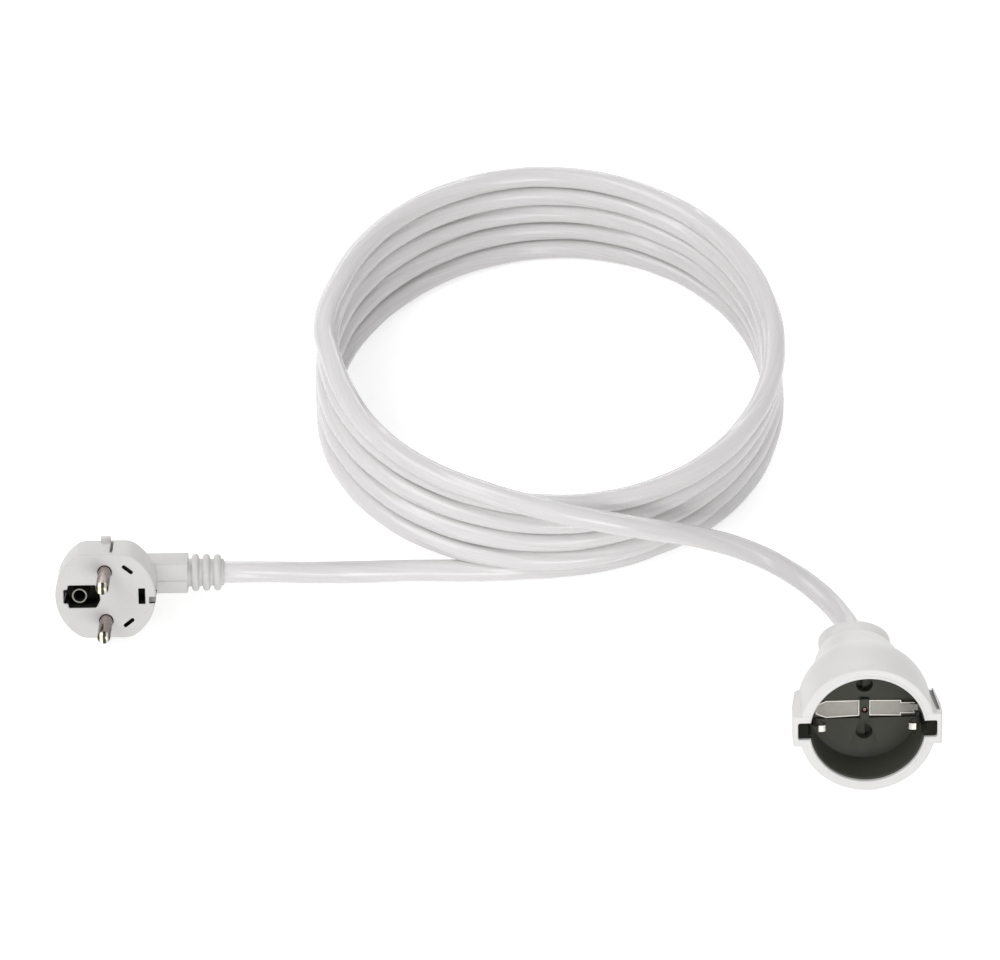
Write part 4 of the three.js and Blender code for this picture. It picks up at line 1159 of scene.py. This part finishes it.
class EXTCORD_OT_socket(Operator):
    """Build the socket's shell, collar, dark insert and earth bar"""

    bl_idname = "extension_cord.socket"
    bl_label = "Socket"

    def execute(self, context):
        placed("socket_bell", self.bell(), SOCKET, "white_housing", "white_housing",
               "socket_shell", shade_finish="grey_lining")
        placed("socket_cap", self.cap(), SOCKET, "white_housing", "white_housing", "socket_collar")
        placed("socket_cup", self.cup(), SOCKET, "dark_insert", "dark_insert", "socket_insert",
               shade_finish="dark_notch")
        placed("socket_earth_bar", self.earth_bar(), SOCKET, "stamped_nickel", "nickel_plate",
               "socket_earth_bracket", shade_finish="brushed_nickel")
        placed("socket_rivet", turned(RIVET, 32), SOCKET, "copper_rivet", "brass",
               "socket_centre_rivet")
        return {"FINISHED"}

    def bell(self):
        """The housing: oval at the cord, round at the mouth, with a bead round the opening and
        two wings, of which the right one has a slit in its side."""
        sections = [*BELL_REAR, *softened(BELL_BODY)]
        half, z = BELL_EDGE_MIDDLE
        for angle in QUARTER_ROUND:
            out = BELL_EDGE * math.cos(angle)
            sections.append((z + BELL_EDGE * math.sin(angle), half + out, half + out))
        parts = [plate(mirrored(WING, side), WING_HALF, 0.45) for side in (1, -1)]
        parts.append(loft(NECK_TUBE, 48))
        shell = combined(loft([*sections, *BELL_RIM], 128), parts, "UNION")
        cuts = [
            loft(BELL_HOLLOW, 96), turned(BELL_MOUTH, 128),
            slab(rectangle(*EAR_OPENING), -18.5, 0.0, corner=0.7, mouth=0.45), loft(THROAT, 48),
            # The slit's walls are painted grey as shade.
            shifted(shade_painted_below(plate(WING_SLIT, 1.4), 1.0), 0, WING_HALF),
        ]
        return combined(shell, cuts, "DIFFERENCE")

    def cap(self):
        """The short oval cap that holds the bell's rear together."""
        return combined(loft(CAP, 96), [loft(NECK_SEAT, 48), loft(THROAT, 48)], "DIFFERENCE")

    def cup(self):
        """The dark cup that takes the plug, with the trough for the earth bar and the pin holes."""
        # The ears take the second finish: the insert's colour painted darker as shade.
        ears = slab(rectangle(*EAR), -18.2, -1.4, corner=0.6)
        ears = combined(ears, [rod(19.95, -17.5, 1, 112)], "DIFFERENCE")
        cuts = [
            block((-18.9, -4.0, -18.7), (18.9, 3.4, 0.0), 0.2),
            block((-22.6, -2.1, -18.7), (22.6, 2.1, -2.2)),
            block((-21.2, -2.1, -3.0), (21.2, 2.1, 1.0)),
            block((12.2, -1.9, -24.0), (14.4, 1.9, -16.0)),
            rod(RIVET_HOLE, -24, -14, 32),
            *(shifted(turned(CUP_HOLE, 48), 0, side * PIN_OFFSET) for side in (1, -1)),
        ]
        cup = combined(turned(CUP, 112), [shade_painted_below(ears, 1.0)], "UNION")
        cup = combined(cup, cuts, "DIFFERENCE")
        post = block((-1.7, -4.3, -17.2), (1.7, 4.3, -15.9), 0.25)
        post = combined(post, [rod(RIVET_HOLE, -18, -15, 32)], "DIFFERENCE")
        feet = [
            block((-1.7, 3.4, -18.0), (1.7, 4.3, -16.9)),
            block((-1.7, -4.3, -18.0), (1.7, -4.0, -16.9)),
        ]
        return combined(cup, [post, *feet], "UNION")

    def earth_bar(self):
        """The stamped bar: two framed halves, a clip at each end and a tail to the rear."""
        return merged(
            slab(EARTH_BAR, -18.4, -17.95),
            self.framed(EARTH_BAR_LEFT),
            self.framed(EARTH_BAR_RIGHT),
            # The clips' legs below 7 mm deep are painted darker as shade.
            *(shade_painted_below(strip(mirrored(CLIP, side), 0.7, 2.45), -7.0) for side in (1, -1)),
            block((12.8, -1.6, -38.0), (13.8, 1.6, -18.0), 0.15),
        )

    def framed(self, outline):
        """A stamped panel: a raised border round a middle painted darker as shade."""
        bm = slab(outline, -18.0, -17.55)
        top = next(face for face in bm.faces if face.normal.z > 0.9)
        for width, rise in ((0.35, 0.0), (0.18, -0.16)):
            bmesh.ops.inset_region(
                bm, faces=[top], thickness=width, depth=rise, use_even_offset=True,
            )
        top.material_index = 1
        return bm


# ------------------------------------------------------------------ the rest
NODE_FINISHES = {
    "core_brown": ("plug_core_live", "socket_core_live"),
    "core_blue": ("plug_core_neutral", "socket_core_neutral"),
    "core_green_yellow": ("plug_core_earth", "socket_core_earth"),
    "dark_insert": ("socket_shutter", "socket_contact_carrier"),
    "white_housing": ("socket_cord_clamp",),
    "brass": ("socket_contact_live", "socket_contact_neutral"),
    "spring_steel": (
        "socket_shutter_spring", "socket_clamp_screw_left", "socket_clamp_screw_right",
    ),
}


class EXTCORD_OT_inner_parts(Operator):
    """Give the inner parts their finishes"""

    bl_idname = "extension_cord.inner_parts"
    bl_label = "Inner parts"

    def execute(self, context):
        for finish, nodes in NODE_FINISHES.items():
            for node in nodes:
                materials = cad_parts[node].data.materials
                materials.clear()
                materials.append(finish_of(finish))
        return {"FINISHED"}


class EXTCORD_PT_panel(Panel):
    """Lists the steps that build the cord"""

    bl_idname = "EXTCORD_PT_panel"
    bl_label = "Extension cord"
    bl_space_type = "VIEW_3D"
    bl_region_type = "UI"
    bl_category = "Extension cord"

    def draw(self, context):
        for step in STEPS:
            self.layout.operator(step.bl_idname)


STEPS = (
    EXTCORD_OT_stage, EXTCORD_OT_cord, EXTCORD_OT_plug, EXTCORD_OT_plug_metal, EXTCORD_OT_socket,
    EXTCORD_OT_inner_parts, EXTCORD_OT_declare,
)
CLASSES = (
    CordSettings, HousingSettings, MetalSettings, StageSettings, ExtensionCordSettings, *STEPS,
    EXTCORD_PT_panel,
)


def register():
    for kind in CLASSES:
        bpy.utils.register_class(kind)
    bpy.types.Scene.extension_cord = PointerProperty(type=ExtensionCordSettings)


def unregister():
    del bpy.types.Scene.extension_cord
    for kind in reversed(CLASSES):
        bpy.utils.unregister_class(kind)


def main():
    register()
    for step in STEPS:
        group, name = step.bl_idname.split(".")
        getattr(getattr(bpy.ops, group), name)()


if __name__ == "__main__":
    main()
